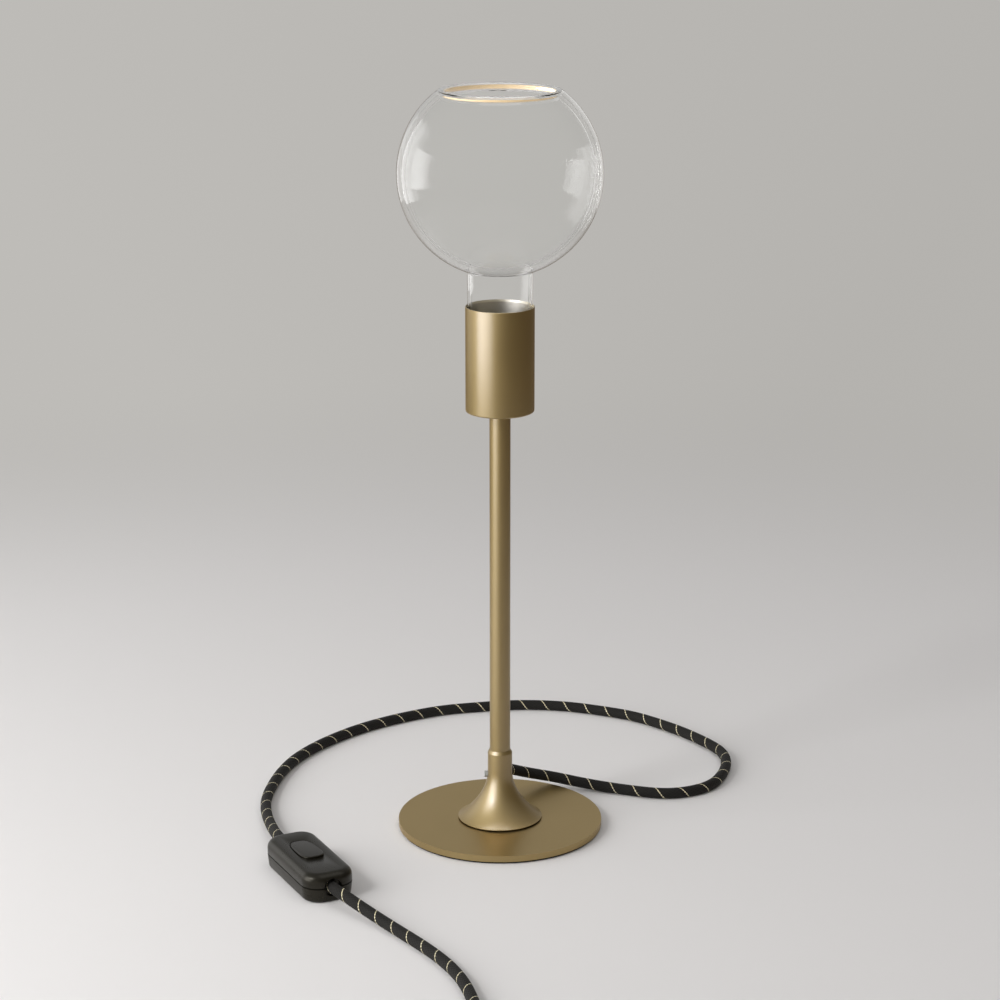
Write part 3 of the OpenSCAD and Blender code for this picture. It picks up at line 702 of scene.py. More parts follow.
def carve(body: Mesh, tools: Sequence[Mesh], edge: float = 0.0) -> Mesh:
    """Cuts tools out of a closed mesh.

    Args:
        body: The closed mesh, which is freed.
        tools: The closed tools, which are freed.
        edge: Width of the bevel on the sharp edges that this leaves.

    Returns:
        The new mesh.
    """
    piece = stand("carve", body)
    cutters = [stand("carve", tool) for tool in tools]
    for cutter in cutters:
        step = piece.modifiers.new("carve", "BOOLEAN")
        step.operation, step.solver, step.object = "DIFFERENCE", "EXACT", cutter
    if edge:
        step = piece.modifiers.new("edge", "BEVEL")
        step.limit_method, step.angle_limit = "ANGLE", BEVEL_ANGLE
        step.width, step.segments, step.use_clamp_overlap = edge, BEVEL_STEPS, True
    bpy.context.view_layer.update()
    made = bmesh.new()
    made.from_object(piece, bpy.context.evaluated_depsgraph_get())
    for obj in (piece, *cutters):
        mesh = obj.data
        bpy.data.objects.remove(obj)
        bpy.data.meshes.remove(mesh)
    bmesh.ops.remove_doubles(made, verts=made.verts[:], dist=TINY)
    bmesh.ops.dissolve_degenerate(made, dist=TINY, edges=made.edges[:])
    bmesh.ops.recalc_face_normals(made, faces=made.faces[:])
    return made


def spline(points: Sequence[Point3], start: Point3, end: Point3, step: float) -> np.ndarray:
    """Lays one smooth curve through points.

    Args:
        points: The points, in metres.
        start: Direction at the first point.
        end: Direction at the last point.
        step: Distance between the curve's own points.

    Returns:
        Points along the curve, one to a row.
    """
    p = np.array(points, float)
    h = np.linalg.norm(np.diff(p, axis=0), axis=1)
    n = len(p)
    a = np.zeros((n, n))
    rhs = np.zeros((n, 3))
    a[0, 0] = a[-1, -1] = 1.0
    rhs[0], rhs[-1] = Vector(start).normalized(), Vector(end).normalized()
    for i in range(1, n - 1):
        a[i, i - 1], a[i, i], a[i, i + 1] = h[i], 2 * (h[i - 1] + h[i]), h[i - 1]
        rhs[i] = 3 * (h[i] * (p[i] - p[i - 1]) / h[i - 1] + h[i - 1] * (p[i + 1] - p[i]) / h[i])
    slope = np.linalg.solve(a, rhs)
    fine = []
    for i in range(n - 1):
        count = max(2, int(h[i] / step * FINE_STEPS))
        t = np.linspace(0, 1, count, endpoint=False)[:, None]
        fine.append((2 * t**3 - 3 * t**2 + 1) * p[i] + (t**3 - 2 * t**2 + t) * h[i] * slope[i]
                    + (3 * t**2 - 2 * t**3) * p[i + 1] + (t**3 - t**2) * h[i] * slope[i + 1])
    fine = np.vstack([*fine, p[-1:]])
    along = np.concatenate([[0], np.cumsum(np.linalg.norm(np.diff(fine, axis=0), axis=1))])
    even = np.linspace(0, along[-1], max(2, round(along[-1] / step)) + 1)
    return np.stack([np.interp(even, along, fine[:, k]) for k in range(3)], axis=1)


def frames(path: np.ndarray) -> list[tuple[Vector, Vector, Vector, float]]:
    """Carries a square frame along a path without twist.

    Args:
        path: Points along the path.

    Returns:
        For each point, the point, the two directions across the path and the length so far.
    """
    pts = [Vector(p) for p in path]
    heads = [(pts[min(i + 1, len(pts) - 1)] - pts[max(i - 1, 0)]).normalized()
             for i in range(len(pts))]
    side = heads[0].cross(Vector((0, 0, 1)))
    side = (side if side.length > 0.1 else heads[0].cross(Vector((0, 1, 0)))).normalized()
    made, length = [], 0.0
    for i, (point, head) in enumerate(zip(pts, heads)):
        side = (side - head * side.dot(head)).normalized()
        length += (point - pts[i - 1]).length if i else 0.0
        made.append((point, side.copy(), head.cross(side), length))
    return made


def swept(path: np.ndarray, radius: float, sides: int, material: int = 0) -> Mesh:
    """Extrudes a ring along a path into a closed tube with a UV map.

    Args:
        path: Points along the middle of the tube.
        radius: The tube's radius.
        sides: Its number of sides.
        material: Material index of its faces.

    Returns:
        The tube; its UV map gives turns round it and metres along it.
    """
    rings = frames(path)
    bm = bmesh.new()
    uv = bm.loops.layers.uv.new("UVMap")
    at = {}

    def lay(verts: Sequence[bmesh.types.BMVert], ring: tuple) -> None:
        """Puts a ring of vertices in its place on the path.

        Args:
            verts: The vertices, in their order round the tube.
            ring: The frame of that place.
        """
        point, across, up, length = ring
        for k, vert in enumerate(verts):
            a = FULL_TURN * k / sides
            vert.co = point + (across * math.cos(a) + up * math.sin(a)) * radius
            at[vert] = (k / sides, length)

    loop = bmesh.ops.create_circle(bm, cap_ends=False, segments=sides, radius=radius)["verts"]
    lay(loop, rings[0])
    ends = [list(loop)]
    for ring in rings[1:]:
        edges = [bm.edges.get((loop[k], loop[(k + 1) % sides])) for k in range(sides)]
        made = bmesh.ops.extrude_edge_only(bm, edges=edges)["geom"]
        fresh = {g for g in made if isinstance(g, bmesh.types.BMVert)}
        loop = [next(e.other_vert(v) for e in v.link_edges if e.other_vert(v) in fresh)
                for v in loop]
        lay(loop, ring)
    ends.append(list(loop))
    for face in bm.faces:
        place = [at[corner.vert] for corner in face.loops]
        seam = max(p[0] for p in place) - min(p[0] for p in place) > 0.5
        for corner, (turn, length) in zip(face.loops, place):
            corner[uv].uv = (turn + 1.0 if seam and turn < 0.5 else turn, length)
    for end in ends:
        bm.faces.new(end)
    bmesh.ops.recalc_face_normals(bm, faces=bm.faces[:])
    for face in bm.faces:
        face.material_index = material
    return bm


# ---- The workshop: turns meshes into pieces ----


class Workshop:
    """Makes each finish once, and hands pieces over to the frame."""

    def __init__(self, frame: dict) -> None:
        """Keeps the frame's nodes, and starts with no finish made."""
        self.nodes: dict[str, Piece] = frame["nodes"]
        self.made: dict[str, Material] = {}

    def finish(self, finish: Finish) -> Material:
        """Gives the material of a finish, made on its first use.

        Args:
            finish: The finish.

        Returns:
            Its material.
        """
        if finish.name not in self.made:
            self.made[finish.name] = finish.make()
        return self.made[finish.name]

    def piece(self, name: str, bm: Mesh, finishes: Sequence[Finish], body: str, slot: str,
              replaces: Sequence[str], crease: float = 32.0) -> Piece:
        """Makes a piece of a mesh and lets it ride on its body.

        Args:
            name: The piece's name.
            bm: Its mesh, which is freed.
            finishes: Its finishes, by material index.
            body: The body that it rides on.
            slot: The record's material slot; not used.
            replaces: The nodes that it stands for.
            crease: Least angle of an edge that stays sharp, in degrees.

        Returns:
            The piece.
        """
        smooth(bm, crease)
        obj = stand(name, bm)
        for finish in finishes:
            obj.data.materials.append(self.finish(finish))
        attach(obj, body)
        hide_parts(*replaces)
        log.info("%s: %d faces on %s", name, len(obj.data.polygons), body)
        return obj

    def dress(self, finishes: dict[str, Finish]) -> list[Piece]:
        """Gives nodes of the frame their finishes.

        Args:
            finishes: The finish of each node, by the node's name.

        Returns:
            The nodes' objects.
        """
        for node, finish in finishes.items():
            materials = self.nodes[node].data.materials
            materials.clear()
            materials.append(self.finish(finish))
            log.info("%s: kept, in %s", node, finish.name)
        return [self.nodes[node] for node in finishes]


BRIGHT_BRASS = PlainMetal("bright_brass", (0.80, 0.60, 0.28, 1), 0.24)
ZINC_STEEL = PlainMetal("zinc_steel", (0.62, 0.63, 0.64, 1), 0.32)
NICKEL = PlainMetal("nickel", (0.74, 0.73, 0.70, 1), 0.18)
LEAD_WIRE = PlainMetal("lead_wire", (0.86, 0.86, 0.85, 1), 0.2)
# Paler, greyer brass inside the cup: painted light that stands in for light reflected into it.
INNER_BRASS = PlainMetal("inner_brass", (0.37, 0.325, 0.24, 1), 0.45)
# Paler brass on the disc's top edge and the cup's lip: a painted highlight line.
EDGE_GLINT_BRASS = PlainMetal("edge_glint_brass", (0.56, 0.49, 0.35, 1), 0.42)
DISC_BRASS = SatinBrass("disc_brass", Brushing.DISC, (0.335, 0.235, 0.080, 1),
                        (0.385, 0.275, 0.105, 1), roughness=0.40, lacquer=0.6)
TURNED_BRASS = SatinBrass("turned_brass", Brushing.TURNED)
TUBE_BRASS = SatinBrass("tube_brass", Brushing.DRAWN)
BLACK_PLASTIC = Moulded("black_plastic", srgb(34, 33, 31), 0.42)
SWITCH_PLASTIC = Moulded("switch_plastic", srgb(19, 17, 11), 0.29, 1800.0, 1.2e-5, sheen=0.33,
                         tint=(1.0, 0.95, 0.82, 1))
BLACK_RUBBER = Moulded("black_rubber", srgb(24, 24, 23), 0.75, 900.0, 4e-5)
CERAMIC = Moulded("steatite", srgb(228, 222, 208), 0.5, 1500.0, 2e-5)
NYLON = Moulded("nylon", srgb(146, 148, 146), 0.35)
BOARD = Moulded("circuit_board", srgb(38, 92, 60), 0.35, 500.0, 3e-5, 0.4)
BROWN = Moulded("brown_pvc", srgb(104, 62, 38), 0.4)
BLUE = Moulded("blue_pvc", srgb(58, 104, 170), 0.4)
GREEN = Moulded("green_pvc", srgb(120, 160, 52), 0.4)
GLASS = BlownGlass("outer_glass", 1.15)
FOLD_GLASS = BlownGlass("fold_glass", 1.40, 0.6)
BOWL_GLASS = BlownGlass("bowl_glass", 1.035)
AMBER = AmberStrip()
BRAID = Braid()
GOLD = GoldThread()


# ---- Studio ----


WHITE = (1.0, 1.0, 1.0)
COOL = (1.0, 1.1, 1.42)


class Reach(Enum):
    """What a lamp does to the pieces that it is linked to."""

    INCLUDE = "INCLUDE"
    EXCLUDE = "EXCLUDE"


def linked(name: str, reach: Reach, pieces: Iterable[Piece]) -> bpy.types.Collection:
    """Makes the collection that tells a lamp what it does to some pieces.

    Args:
        name: The collection's name.
        reach: What becomes of the pieces.
        pieces: The pieces.

    Returns:
        The collection.
    """
    group = bpy.data.collections.new(name)
    for piece in pieces:
        group.objects.link(piece)
    for entry in group.collection_objects:
        entry.light_linking.link_state = reach.value
    return group


@dataclass(frozen=True)
class Softbox:
    """A soft lamp: its place, the point that it faces, its width and height, and its brightness.

    A glow of 1 makes its face white.
    """

    name: str
    place: Point3
    aim: Point3
    size: Point2
    glow: float
    tint: Point3 = WHITE

    def hang(self, reach: Reach, pieces: Sequence[Piece], clear: Piece) -> None:
        """Hangs the lamp, hidden from the camera and from rays that pass through glass.

        Args:
            reach: What its light and its mirror image do to the pieces.
            pieces: The pieces that it is linked to.
            clear: The piece that casts no shadow in its light.
        """
        width, height = self.size
        data = bpy.data.lights.new(self.name, "AREA")
        data.shape, data.size, data.size_y = "RECTANGLE", width, height
        data.energy = self.glow * math.pi * width * height
        data.color = self.tint
        lamp = bpy.data.objects.new(self.name, data)
        lamp.location = self.place
        lamp.rotation_mode = "QUATERNION"
        lamp.rotation_quaternion = (Vector(self.place) - Vector(self.aim)).to_track_quat("Z", "Y")
        lamp.visible_camera = lamp.visible_transmission = False
        bpy.context.scene.collection.objects.link(lamp)
        links = lamp.light_linking
        links.receiver_collection = linked(self.name + "_pieces", reach, pieces)
        links.blocker_collection = linked(self.name + "_blockers", Reach.EXCLUDE, [clear])


@dataclass
class Studio:
    """Camera, lamps, world and the pale table top."""

    distance: float = 1.6005
    height: float = 0.6645
    tilt: float = 74.36
    lens: float = 96.24
    film: float = 36.0
    clip: float = 0.05
    floor_r: float = 30.0
    floor_sides: int = 96
    lit_to: float = 0.5
    plain_from: float = 1.3
    mirror_low: float = 0.35
    mirror_high: float = 0.95
    haze_side: float = 0.28
    ceiling_low: float = 0.35
    ceiling_high: float = 0.95
    paper: Colour = (0.79, 0.772, 0.765, 1)
    ceiling: Colour = (0.42, 0.42, 0.42, 1)
    haze: Colour = (0.516, 0.503, 0.480, 1)
    # dusk is painted shade on the right side of the far grey.
    dusk: Colour = (0.460, 0.448, 0.427, 1)
    # gloom is the painted warm dark that brass mirrors in the far table.
    gloom: Colour = (0.17, 0.135, 0.10, 1)
    walls: tuple[tuple[float, Colour], ...] = (
        (0.0, (0.50, 0.50, 0.50, 1)), (0.12, (0.62, 0.62, 0.62, 1)),
        (0.30, (0.75, 0.75, 0.75, 1)), (0.44, (0.60, 0.60, 0.60, 1)),
        (0.52, (0.36, 0.35, 0.33, 1)), (0.60, (0.16, 0.14, 0.11, 1)),
        (0.82, (0.14, 0.12, 0.09, 1)), (0.92, (0.34, 0.33, 0.31, 1)),
        (1.0, (0.50, 0.50, 0.50, 1)),
    )
    room_rig: tuple[Softbox, ...] = (
        Softbox("key_lamp", (-1.1, -0.95, 1.15), (0, 0, 0.1), (0.34, 0.34), 18.0),
        Softbox("front_softbox", (-1.0, -0.48, 0.47), (0, 0, 0.3), (0.75, 0.9), 4.0),
        Softbox("left_softbox", (-1.05, 0.42, 0.4), (0, 0, 0.4), (0.95, 0.75), 0.8),
        Softbox("top_softbox", (0.55, -0.35, 1.6), (0.15, -0.15, 0), (1.2, 1.2), 0.75),
    )
    brass_rig: tuple[Softbox, ...] = (
        Softbox("brass_key", (-1.1, -0.95, 1.15), (0, 0, 0.1), (0.26, 0.26), 22.0, COOL),
        Softbox("brass_front", (-0.98, -0.50, 0.47), (0, 0, 0.3), (0.66, 0.94), 4.6, COOL),
        Softbox("brass_side", (-0.66, -0.88, 0.47), (0, 0, 0.3), (0.42, 0.94), 2.8, COOL),
        Softbox("brass_left", (-1.05, 0.42, 0.4), (0, 0, 0.4), (0.95, 0.75), 0.6),
        Softbox("brass_crown", (-0.1, 0.2, 1.5), (0, 0, 0.2), (0.7, 0.7), 5.0),
    )
    glass_rig: tuple[Softbox, ...] = (
        Softbox("pane_front", (-1.147, 0.080, 0.46), (0, 0, 0.42), (0.42, 0.55), 11.0),
        Softbox("pane_middle", (-1.051, 0.468, 0.46), (0, 0, 0.42), (0.42, 1.1), 3.6),
        Softbox("pane_back", (-0.868, 0.754, 0.46), (0, 0, 0.42), (0.34, 0.8), 0.6),
        Softbox("pane_top", (0.0, 0.25, 1.5), (0, 0, 0.4), (0.7, 0.7), 0.5),
        Softbox("pane_right", (0.62, 1.0, 0.46), (0, 0, 0.42), (0.6, 1.0), 0.22),
    )

    def camera(self) -> None:
        """Puts the camera where the photographer stood."""
        data = bpy.data.cameras.new("camera")
        data.lens, data.sensor_width, data.clip_start = self.lens, self.film, self.clip
        obj = bpy.data.objects.new("camera", data)
        obj.location = (0.0, -self.distance, self.height)
        obj.rotation_euler = (math.radians(self.tilt), 0, 0)
        bpy.context.scene.collection.objects.link(obj)
        bpy.context.scene.camera = obj

    def light(self, glass: Piece, brass: Sequence[Piece]) -> None:
        """Hangs the lamps: for the room, for the brass alone, and for the glass alone.

        Args:
            glass: The glass of the bulb.
            brass: The brass pieces.
        """
        for rig, reach, pieces in ((self.room_rig, Reach.EXCLUDE, (glass, *brass)),
                                   (self.brass_rig, Reach.INCLUDE, brass),
                                   (self.glass_rig, Reach.INCLUDE, (glass,))):
            for lamp in rig:
                lamp.hang(reach, pieces, glass)

    def world(self) -> None:
        """Fills the room with soft light, strongest from the left and weakest from the right."""
        world = bpy.data.worlds.new("room")
        bpy.context.scene.world = world
        b = Bench(world)
        x, y, z = b.split(b.node("TexCoord", out="Generated"))
        azimuth = (x.math("ARCTAN2", y * -1.0) + math.pi) / FULL_TURN
        walls = b.node("ValToRGB", {"stops": self.walls}, {"Fac": azimuth})
        light = b.mix(b.ease(z, self.ceiling_low, self.ceiling_high), walls, self.ceiling)
        shown = b.node("LightPath", out="Is Camera Ray").math(
            "MAXIMUM", b.node("LightPath", out="Is Transmission Ray"))
        b.end(b.node("Background", {}, {"Color": b.mix(shown, light, self.haze), "Strength": 1.0}),
              "OutputWorld")

    def table(self) -> None:
        """Lays the table top, one large disc."""
        bm = bmesh.new()
        bmesh.ops.create_circle(bm, cap_ends=True, segments=self.floor_sides, radius=self.floor_r)
        obj = stand("table_top", bm)
        obj.data.materials.append(self.laminate())

    def laminate(self) -> Material:
        """Makes the pale table top: lit near the lamp, and far behind it a grey with painted shade
        towards the right, where less light falls.

        Brass that mirrors its far part sees a painted warm dark instead: a painted reflection that
        darkens the brass's shaded side.

        Returns:
            The material.
        """
        b = Bench(bpy.data.materials.new("pale_table"))
        x, y, _ = b.split(b.place())
        reach = (x * x + y * y).math("SQRT")
        lit = b.node("BsdfPrincipled", {}, {"Base Color": self.paper, "Roughness": 0.9,
                                            "Specular IOR Level": 0.2})
        # The far grey is darker towards the right: painted shade, where less light falls.
        side = b.node("MapRange", {}, {"Value": x / reach, "From Min": -self.haze_side,
                                       "From Max": self.haze_side})
        grey = b.node("Emission", {}, {"Color": b.mix(side, self.haze, self.dusk), "Strength": 1.0})
        far = b.ease(reach, self.lit_to, self.plain_from)
        shown = b.node("MixShader", {}, {0: far, 1: lit, 2: grey})
        # Glossy rays see the far table as a dim warm emission: a painted reflection that darkens
        # the brass.
        bounced = (b.node("LightPath", out="Is Glossy Ray")
                   - b.node("LightPath", out="Is Transmission Ray")) > 0.5
        mirrored = bounced * b.ease(reach, self.mirror_low, self.mirror_high)
        dim = b.node("Emission", {}, {"Color": self.gloom, "Strength": 1.0})
        return b.end(b.node("MixShader", {}, {0: mirrored, 1: shown, 2: dim}))

    def build(self) -> None:
        """Sets up the camera, the room and the table top."""
        self.camera()
        self.world()
        self.table()
        bpy.context.scene.view_settings.view_transform = "Standard"


# ---- Cords ----


@dataclass
class Cords:
    """The braided cord on its two routes: foot to switch, and switch to plug."""

    shop: Workshop
    diameter: float = 7 * MM
    sides: int = 28
    ring_step: float = 2.0 * MM
    pitch: float = 15.68 * MM
    thread_r: float = 0.8 * MM
    thread_sunk: float = 0.70 * MM
    thread_sides: int = 12
    rings_per_pitch: int = 14
    lamp_shift: float = 0.7 * MM
    mains_shift: float = 8.0 * MM
    rest_z: float = 3.5
    bush_end: float = 9.9
    exit_z: float = 32.5
    coil_centre: Point2 = (32.0, -330.0)
    coil_r: float = 42.0
    coil_turns: float = 3.25
    coil_step: float = 7.5
    coil_layer: float = 7.5
    coil_climb: float = 0.5
    rings_per_turn: int = 24

    def grounded(self, *points: Sequence[float]) -> list[Point3]:
        """Lets the points of a route that have no height lie on the table."""
        return [(*point, self.rest_z)[:3] for point in points]

    def lamp_route(self) -> list[Point3]:
        """Gives the route from the foot to the switch.

        Returns:
            Points along the route, in millimetres.
        """
        return self.grounded(
            (0, self.bush_end, self.exit_z), (0, 13.1, self.exit_z), (0.4, 20.8, 31.4),
            (2.7, 32.2, 26.4), (11.5, 45, 19.1), (22, 52.6, 14), (35, 56.9, 10),
            (50, 57.8, 6.4), (64, 55.9, 4.3), (78, 52), (93, 46.8), (109, 43.8), (125, 47.5),
            (139, 58), (148, 75), (153, 95), (152, 118), (141, 140), (127, 159), (111, 176),
            (93, 191), (73, 201), (52, 209), (30, 213), (7, 213), (-16, 209), (-39, 203),
            (-60, 193), (-80, 180), (-99, 164), (-115, 146), (-129, 126), (-140, 104),
            (-147, 81), (-151, 58), (-152.9, 33), (-150.6, 7, 4), (-144.8, -20, 5.8),
            (-137.2, -46.5, 9.2), (-129, -63.3, 9.4),
        )

    def coil_point(self, turn: float) -> Point3:
        """Gives a point of the coil, whose second layer lies on its first.

        Args:
            turn: How many turns lie before it.

        Returns:
            The point, in millimetres.
        """
        r = self.coil_r - self.coil_step * min(turn, self.coil_turns - turn)
        a = math.pi + FULL_TURN * turn
        half_way = (turn - self.coil_turns / 2 + self.coil_climb / 2) / self.coil_climb
        climb = max(0.0, min(1.0, half_way))
        return (self.coil_centre[0] + r * math.cos(a), self.coil_centre[1] + r * math.sin(a),
                self.rest_z + self.coil_layer * (1 - math.cos(math.pi * climb)) / 2)

    def mains_route(self) -> list[Point3]:
        """Gives the route from the switch through the coil to the plug.

        Returns:
            Points along the route, in millimetres.
        """
        out = self.grounded(
            (-103.8, -113.3, 9.4), (-98.4, -124, 9.3), (-91, -133, 8.3), (-84, -141, 7),
            (-75.5, -150.5, 5.5), (-66, -161.5, 4.2), (-56, -174), (-46, -188),
            (-36.5, -202.5), (-28.5, -217), (-22, -232.5), (-17, -250), (-13.5, -268),
            (-11, -288), (-10, -306), (-10, -323),
        )
        count = int(self.rings_per_turn * self.coil_turns)
        coil = [self.coil_point(i / self.rings_per_turn) for i in range(count + 1)]
        tail = [(39, -372, 11), (47, -372, 11), (55, -372, 12.2), (63, -372, 14.9),
                (71, -372, 17.5), (79, -372, 18.75), (86, -372, 18.75)]
        return out + coil + tail

    def lay(self, name: str, route: list[Point3], heads: tuple[Point3, Point3], shift: float,
            nodes: Sequence[str], far_end: str, pieces: Sequence[Piece]) -> None:
        """Args:
            name: The piece's name.
            route: Points along the route, in millimetres.
            heads: Directions at its start and its end.
            shift: How far along the cord the thread's winding starts.
            nodes: The nodes that it stands for.
            far_end: What ends it; not used.
            pieces: The pieces that go with it; not used.
        """
        points = [tuple(c * MM for c in p) for p in route]
        path = spline(points, *heads, self.ring_step)
        tube = swept(path, self.diameter / 2, self.sides)
        helix = []
        for point, across, up, length in frames(spline(points, *heads,
                                                       self.pitch / self.rings_per_pitch)):
            a = FULL_TURN * (length - shift) / self.pitch
            helix.append(point + (across * math.cos(a) + up * math.sin(a))
                         * (self.diameter / 2 - self.thread_sunk))
        merge(tube, swept(np.array(helix), self.thread_r, self.thread_sides, material=1))
        piece = self.shop.piece(name, tube, [BRAID, GOLD], "lamp", "braid", nodes)
        length = float(np.linalg.norm(np.diff(path, axis=0), axis=1).sum())
        log.info("%s is %.3f m long", name, length)

    def build(self, switch: Sequence[Piece], plug: Sequence[Piece]) -> None:
        """Lays both cords.

        Args:
            switch: The pieces of the switch.
            plug: The pieces of the plug.
        """
        along = (math.cos(SWITCH_TURN), math.sin(SWITCH_TURN), 0)
        self.lay("lamp_cord", self.lamp_route(), ((0, 1, 0), along), self.lamp_shift,
                 ["cord_lamp"], "fitting", switch)
        self.lay("mains_cord", self.mains_route(), (along, (1, 0, 0)), self.mains_shift,
                 ["cord_mains", "cord_coil", "cord_tail"], "plug", plug)


# ---- Lamp body ----


@dataclass
class Base:
    """Brass disc on its rubber pad, and the turned trumpet foot."""

    shop: Workshop
    pad_t: float = 1.4 * MM
    disc_r: float = 65 * MM
    disc_t: float = 4 * MM
    disc_edge: float = 0.4 * MM
    disc_edge_steps: int = 4
    disc_steps: int = 192
    bore_r: float = 4 * MM
    recess_r: float = 12.5 * MM
    recess_top: float = 3.9 * MM
    foot_bottom: float = 6.2 * MM
    foot_bore: float = 5 * MM
    foot_steps: int = 160
    rim_r: float = 26.8 * MM
    rim_t: float = 0.4 * MM
    rim_soft: float = 0.17 * MM
    rim_steps: int = 4
    flare_h: float = 30 * MM
    flare_round: float = 1.17
    flare_rise: float = 1.9
    flare_steps: int = 48
    neck_r: float = 7.8 * MM
    neck_h: float = 15 * MM
    neck_edge: float = 1 * MM
    neck_soft: float = 0.12 * MM
    neck_steps: int = 3
    seat_r: float = 6.55 * MM
    seat_lead: float = 0.2 * MM
    seat_deep: float = 11 * MM
    cord_hole_r: float = 4.4 * MM
    cord_hole_z: float = 32.5 * MM
    screw_hole_r: float = 2.05 * MM
    screw_hole_z: float = 34.5 * MM
    drill: float = 20 * MM

    def disc(self) -> Piece:
        """Turns the disc, whose top edge is paler brass: a painted highlight line.

        Returns:
            The disc.
        """
        low, high = self.pad_t, self.pad_t + self.disc_t
        section = Outline(self.recess_r, low)
        section.to((self.disc_r, low), (self.disc_r, high), (self.bore_r, high),
                   (self.bore_r, self.recess_top), (self.recess_r, self.recess_top))
        section.close().soften(self.disc_edge, self.disc_edge_steps, low, high)
        edge_r, edge_z = self.disc_r - self.disc_edge, high - self.disc_edge
        bm = paint(section.turned(self.disc_steps), lambda r, z: int(r > edge_r and z > edge_z))
        return self.shop.piece("brass_disc", bm, [DISC_BRASS, EDGE_GLINT_BRASS], "lamp", "satin_brass",
                               ["base_plate"])

    def foot(self) -> Piece:
        """Turns the trumpet foot, and drills the holes of the cord and the grip screw.

        Returns:
            The foot.
        """
        bottom = self.foot_bottom + self.rim_t
        top = bottom + self.flare_h
        neck_top = top + self.neck_h
        seat_z = neck_top - self.seat_deep
        section = Outline(self.foot_bore, self.foot_bottom).to((self.rim_r, self.foot_bottom))
        for i in range(self.flare_steps + 1):
            a = math.pi / 2 * i / self.flare_steps
            section.to((
                self.rim_r - (self.rim_r - self.neck_r) * math.sin(a) ** (2 / self.flare_round),
                top - self.flare_h * math.cos(a) ** (2 / self.flare_rise)))
        section.to((self.neck_r, neck_top - 2 * self.neck_edge),
                   (self.seat_r + self.seat_lead, neck_top), (self.seat_r, neck_top),
                   (self.seat_r, seat_z), (self.foot_bore, seat_z)).close()
        section.soften(self.neck_soft, self.neck_steps, neck_top - 2.1 * self.neck_edge, neck_top)
        section.soften(self.rim_soft, self.rim_steps, self.foot_bottom, bottom)
        cord_z, screw_z = self.cord_hole_z, self.screw_hole_z
        body = carve(section.turned(self.foot_steps), [
            rod((0, 0, cord_z), (0, self.drill, cord_z), self.cord_hole_r),
            rod((0, 0, screw_z), (-self.drill, 0, screw_z), self.screw_hole_r),
        ])
        return self.shop.piece("trumpet_foot_brass", body, [TURNED_BRASS], "lamp", "satin_brass",
                               ["trumpet_foot"])

    def build(self) -> list[Piece]:
        """Makes the base and dresses what stays of the frame.

        Returns:
            The brass pieces.
        """
        brass = [self.disc(), self.foot()]
        self.shop.dress({
            "base_washer": ZINC_STEEL, "base_nut": ZINC_STEEL, "base_stud": ZINC_STEEL,
            "base_pad": BLACK_RUBBER, "foot_gasket": BLACK_RUBBER, "cord_grip_screw": NYLON,
            "cord_bush": BLACK_PLASTIC, "cord_end": BRAID,
        })
        return brass


@dataclass
class Column:
    """Stem tube, socket cup and the lampholder inside it."""

    shop: Workshop
    stem_r: float = 6.5 * MM
    bore_r: float = 5 * MM
    stem_bottom: float = 40.6 * MM
    stem_top: float = 273.3 * MM
    stem_steps: int = 96
    cup_r: float = 21.25 * MM
    cup_wall: float = 0.85 * MM
    cup_floor: float = 274.5 * MM
    cup_top: float = 339.1 * MM
    cup_round: float = 1.1 * MM
    round_steps: int = 8
    cup_steps: int = 160
    lip: float = 0.3 * MM
    lip_steps: int = 6
    lip_bevel: float = 1.4 * MM
    lip_z: float = 337.6 * MM

    def stem(self) -> Piece:
        """Draws the stem tube.

        Returns:
            The stem.
        """
        tube = Outline(self.bore_r, self.stem_bottom)
        tube.to((self.stem_r, self.stem_bottom), (self.stem_r, self.stem_top),
                (self.bore_r, self.stem_top)).close()
        return self.shop.piece("stem", tube.turned(self.stem_steps), [TUBE_BRASS], "lamp",
                               "satin_brass", ["stem_tube"])

    def cup(self) -> Piece:
        """Turns the socket cup, paler inside and at its lip: painted light reflected into the cup,
        and a painted highlight line on the lip.

        Returns:
            The cup.
        """
        inner, lip_r = self.cup_r - self.cup_wall, self.cup_r - self.lip / 2
        cup = Outline(self.bore_r, self.stem_top).to((self.cup_r - self.cup_round, self.stem_top))
        cup.arc((self.cup_r - self.cup_round, self.stem_top + self.cup_round), 90,
                self.round_steps)
        cup.to((self.cup_r, self.cup_top - self.lip))
        cup.arc((self.cup_r - self.lip, self.cup_top - self.lip), 90, self.lip_steps)
        cup.to((inner, self.cup_top - self.lip_bevel), (inner, self.cup_floor),
               (self.bore_r, self.cup_floor)).close()

        def choose(r: float, z: float) -> int:
            """Gives 1 for the inside, 2 for the lip and 0 for the rest."""
            inside = r < inner and self.cup_floor < z < self.lip_z
            return 1 if inside else 2 if r < lip_r and z > self.lip_z else 0

        return self.shop.piece("cup", paint(cup.turned(self.cup_steps), choose),
                               [TURNED_BRASS, INNER_BRASS, EDGE_GLINT_BRASS], "lamp", "satin_brass",
                               ["socket_cup"])

    def build(self) -> list[Piece]:
        """Makes the stem and the cup, and dresses the lampholder.

        Returns:
            The brass pieces.
        """
        brass = [self.stem(), self.cup()]
        self.shop.dress({
            "top_nipple": ZINC_STEEL, "tooth_washer": ZINC_STEEL, "cup_nut": ZINC_STEEL,
            "earth_tag": BRIGHT_BRASS, "holder_terminals": BRIGHT_BRASS,
            "centre_contact": BRIGHT_BRASS, "holder_sleeve": BRIGHT_BRASS,
            "holder_base": BLACK_PLASTIC, "holder_skirt": BLACK_PLASTIC,
            "holder_carrier": CERAMIC, "live_core": BROWN, "neutral_core": BLUE,
            "earth_core": GREEN,
        })
        return brass


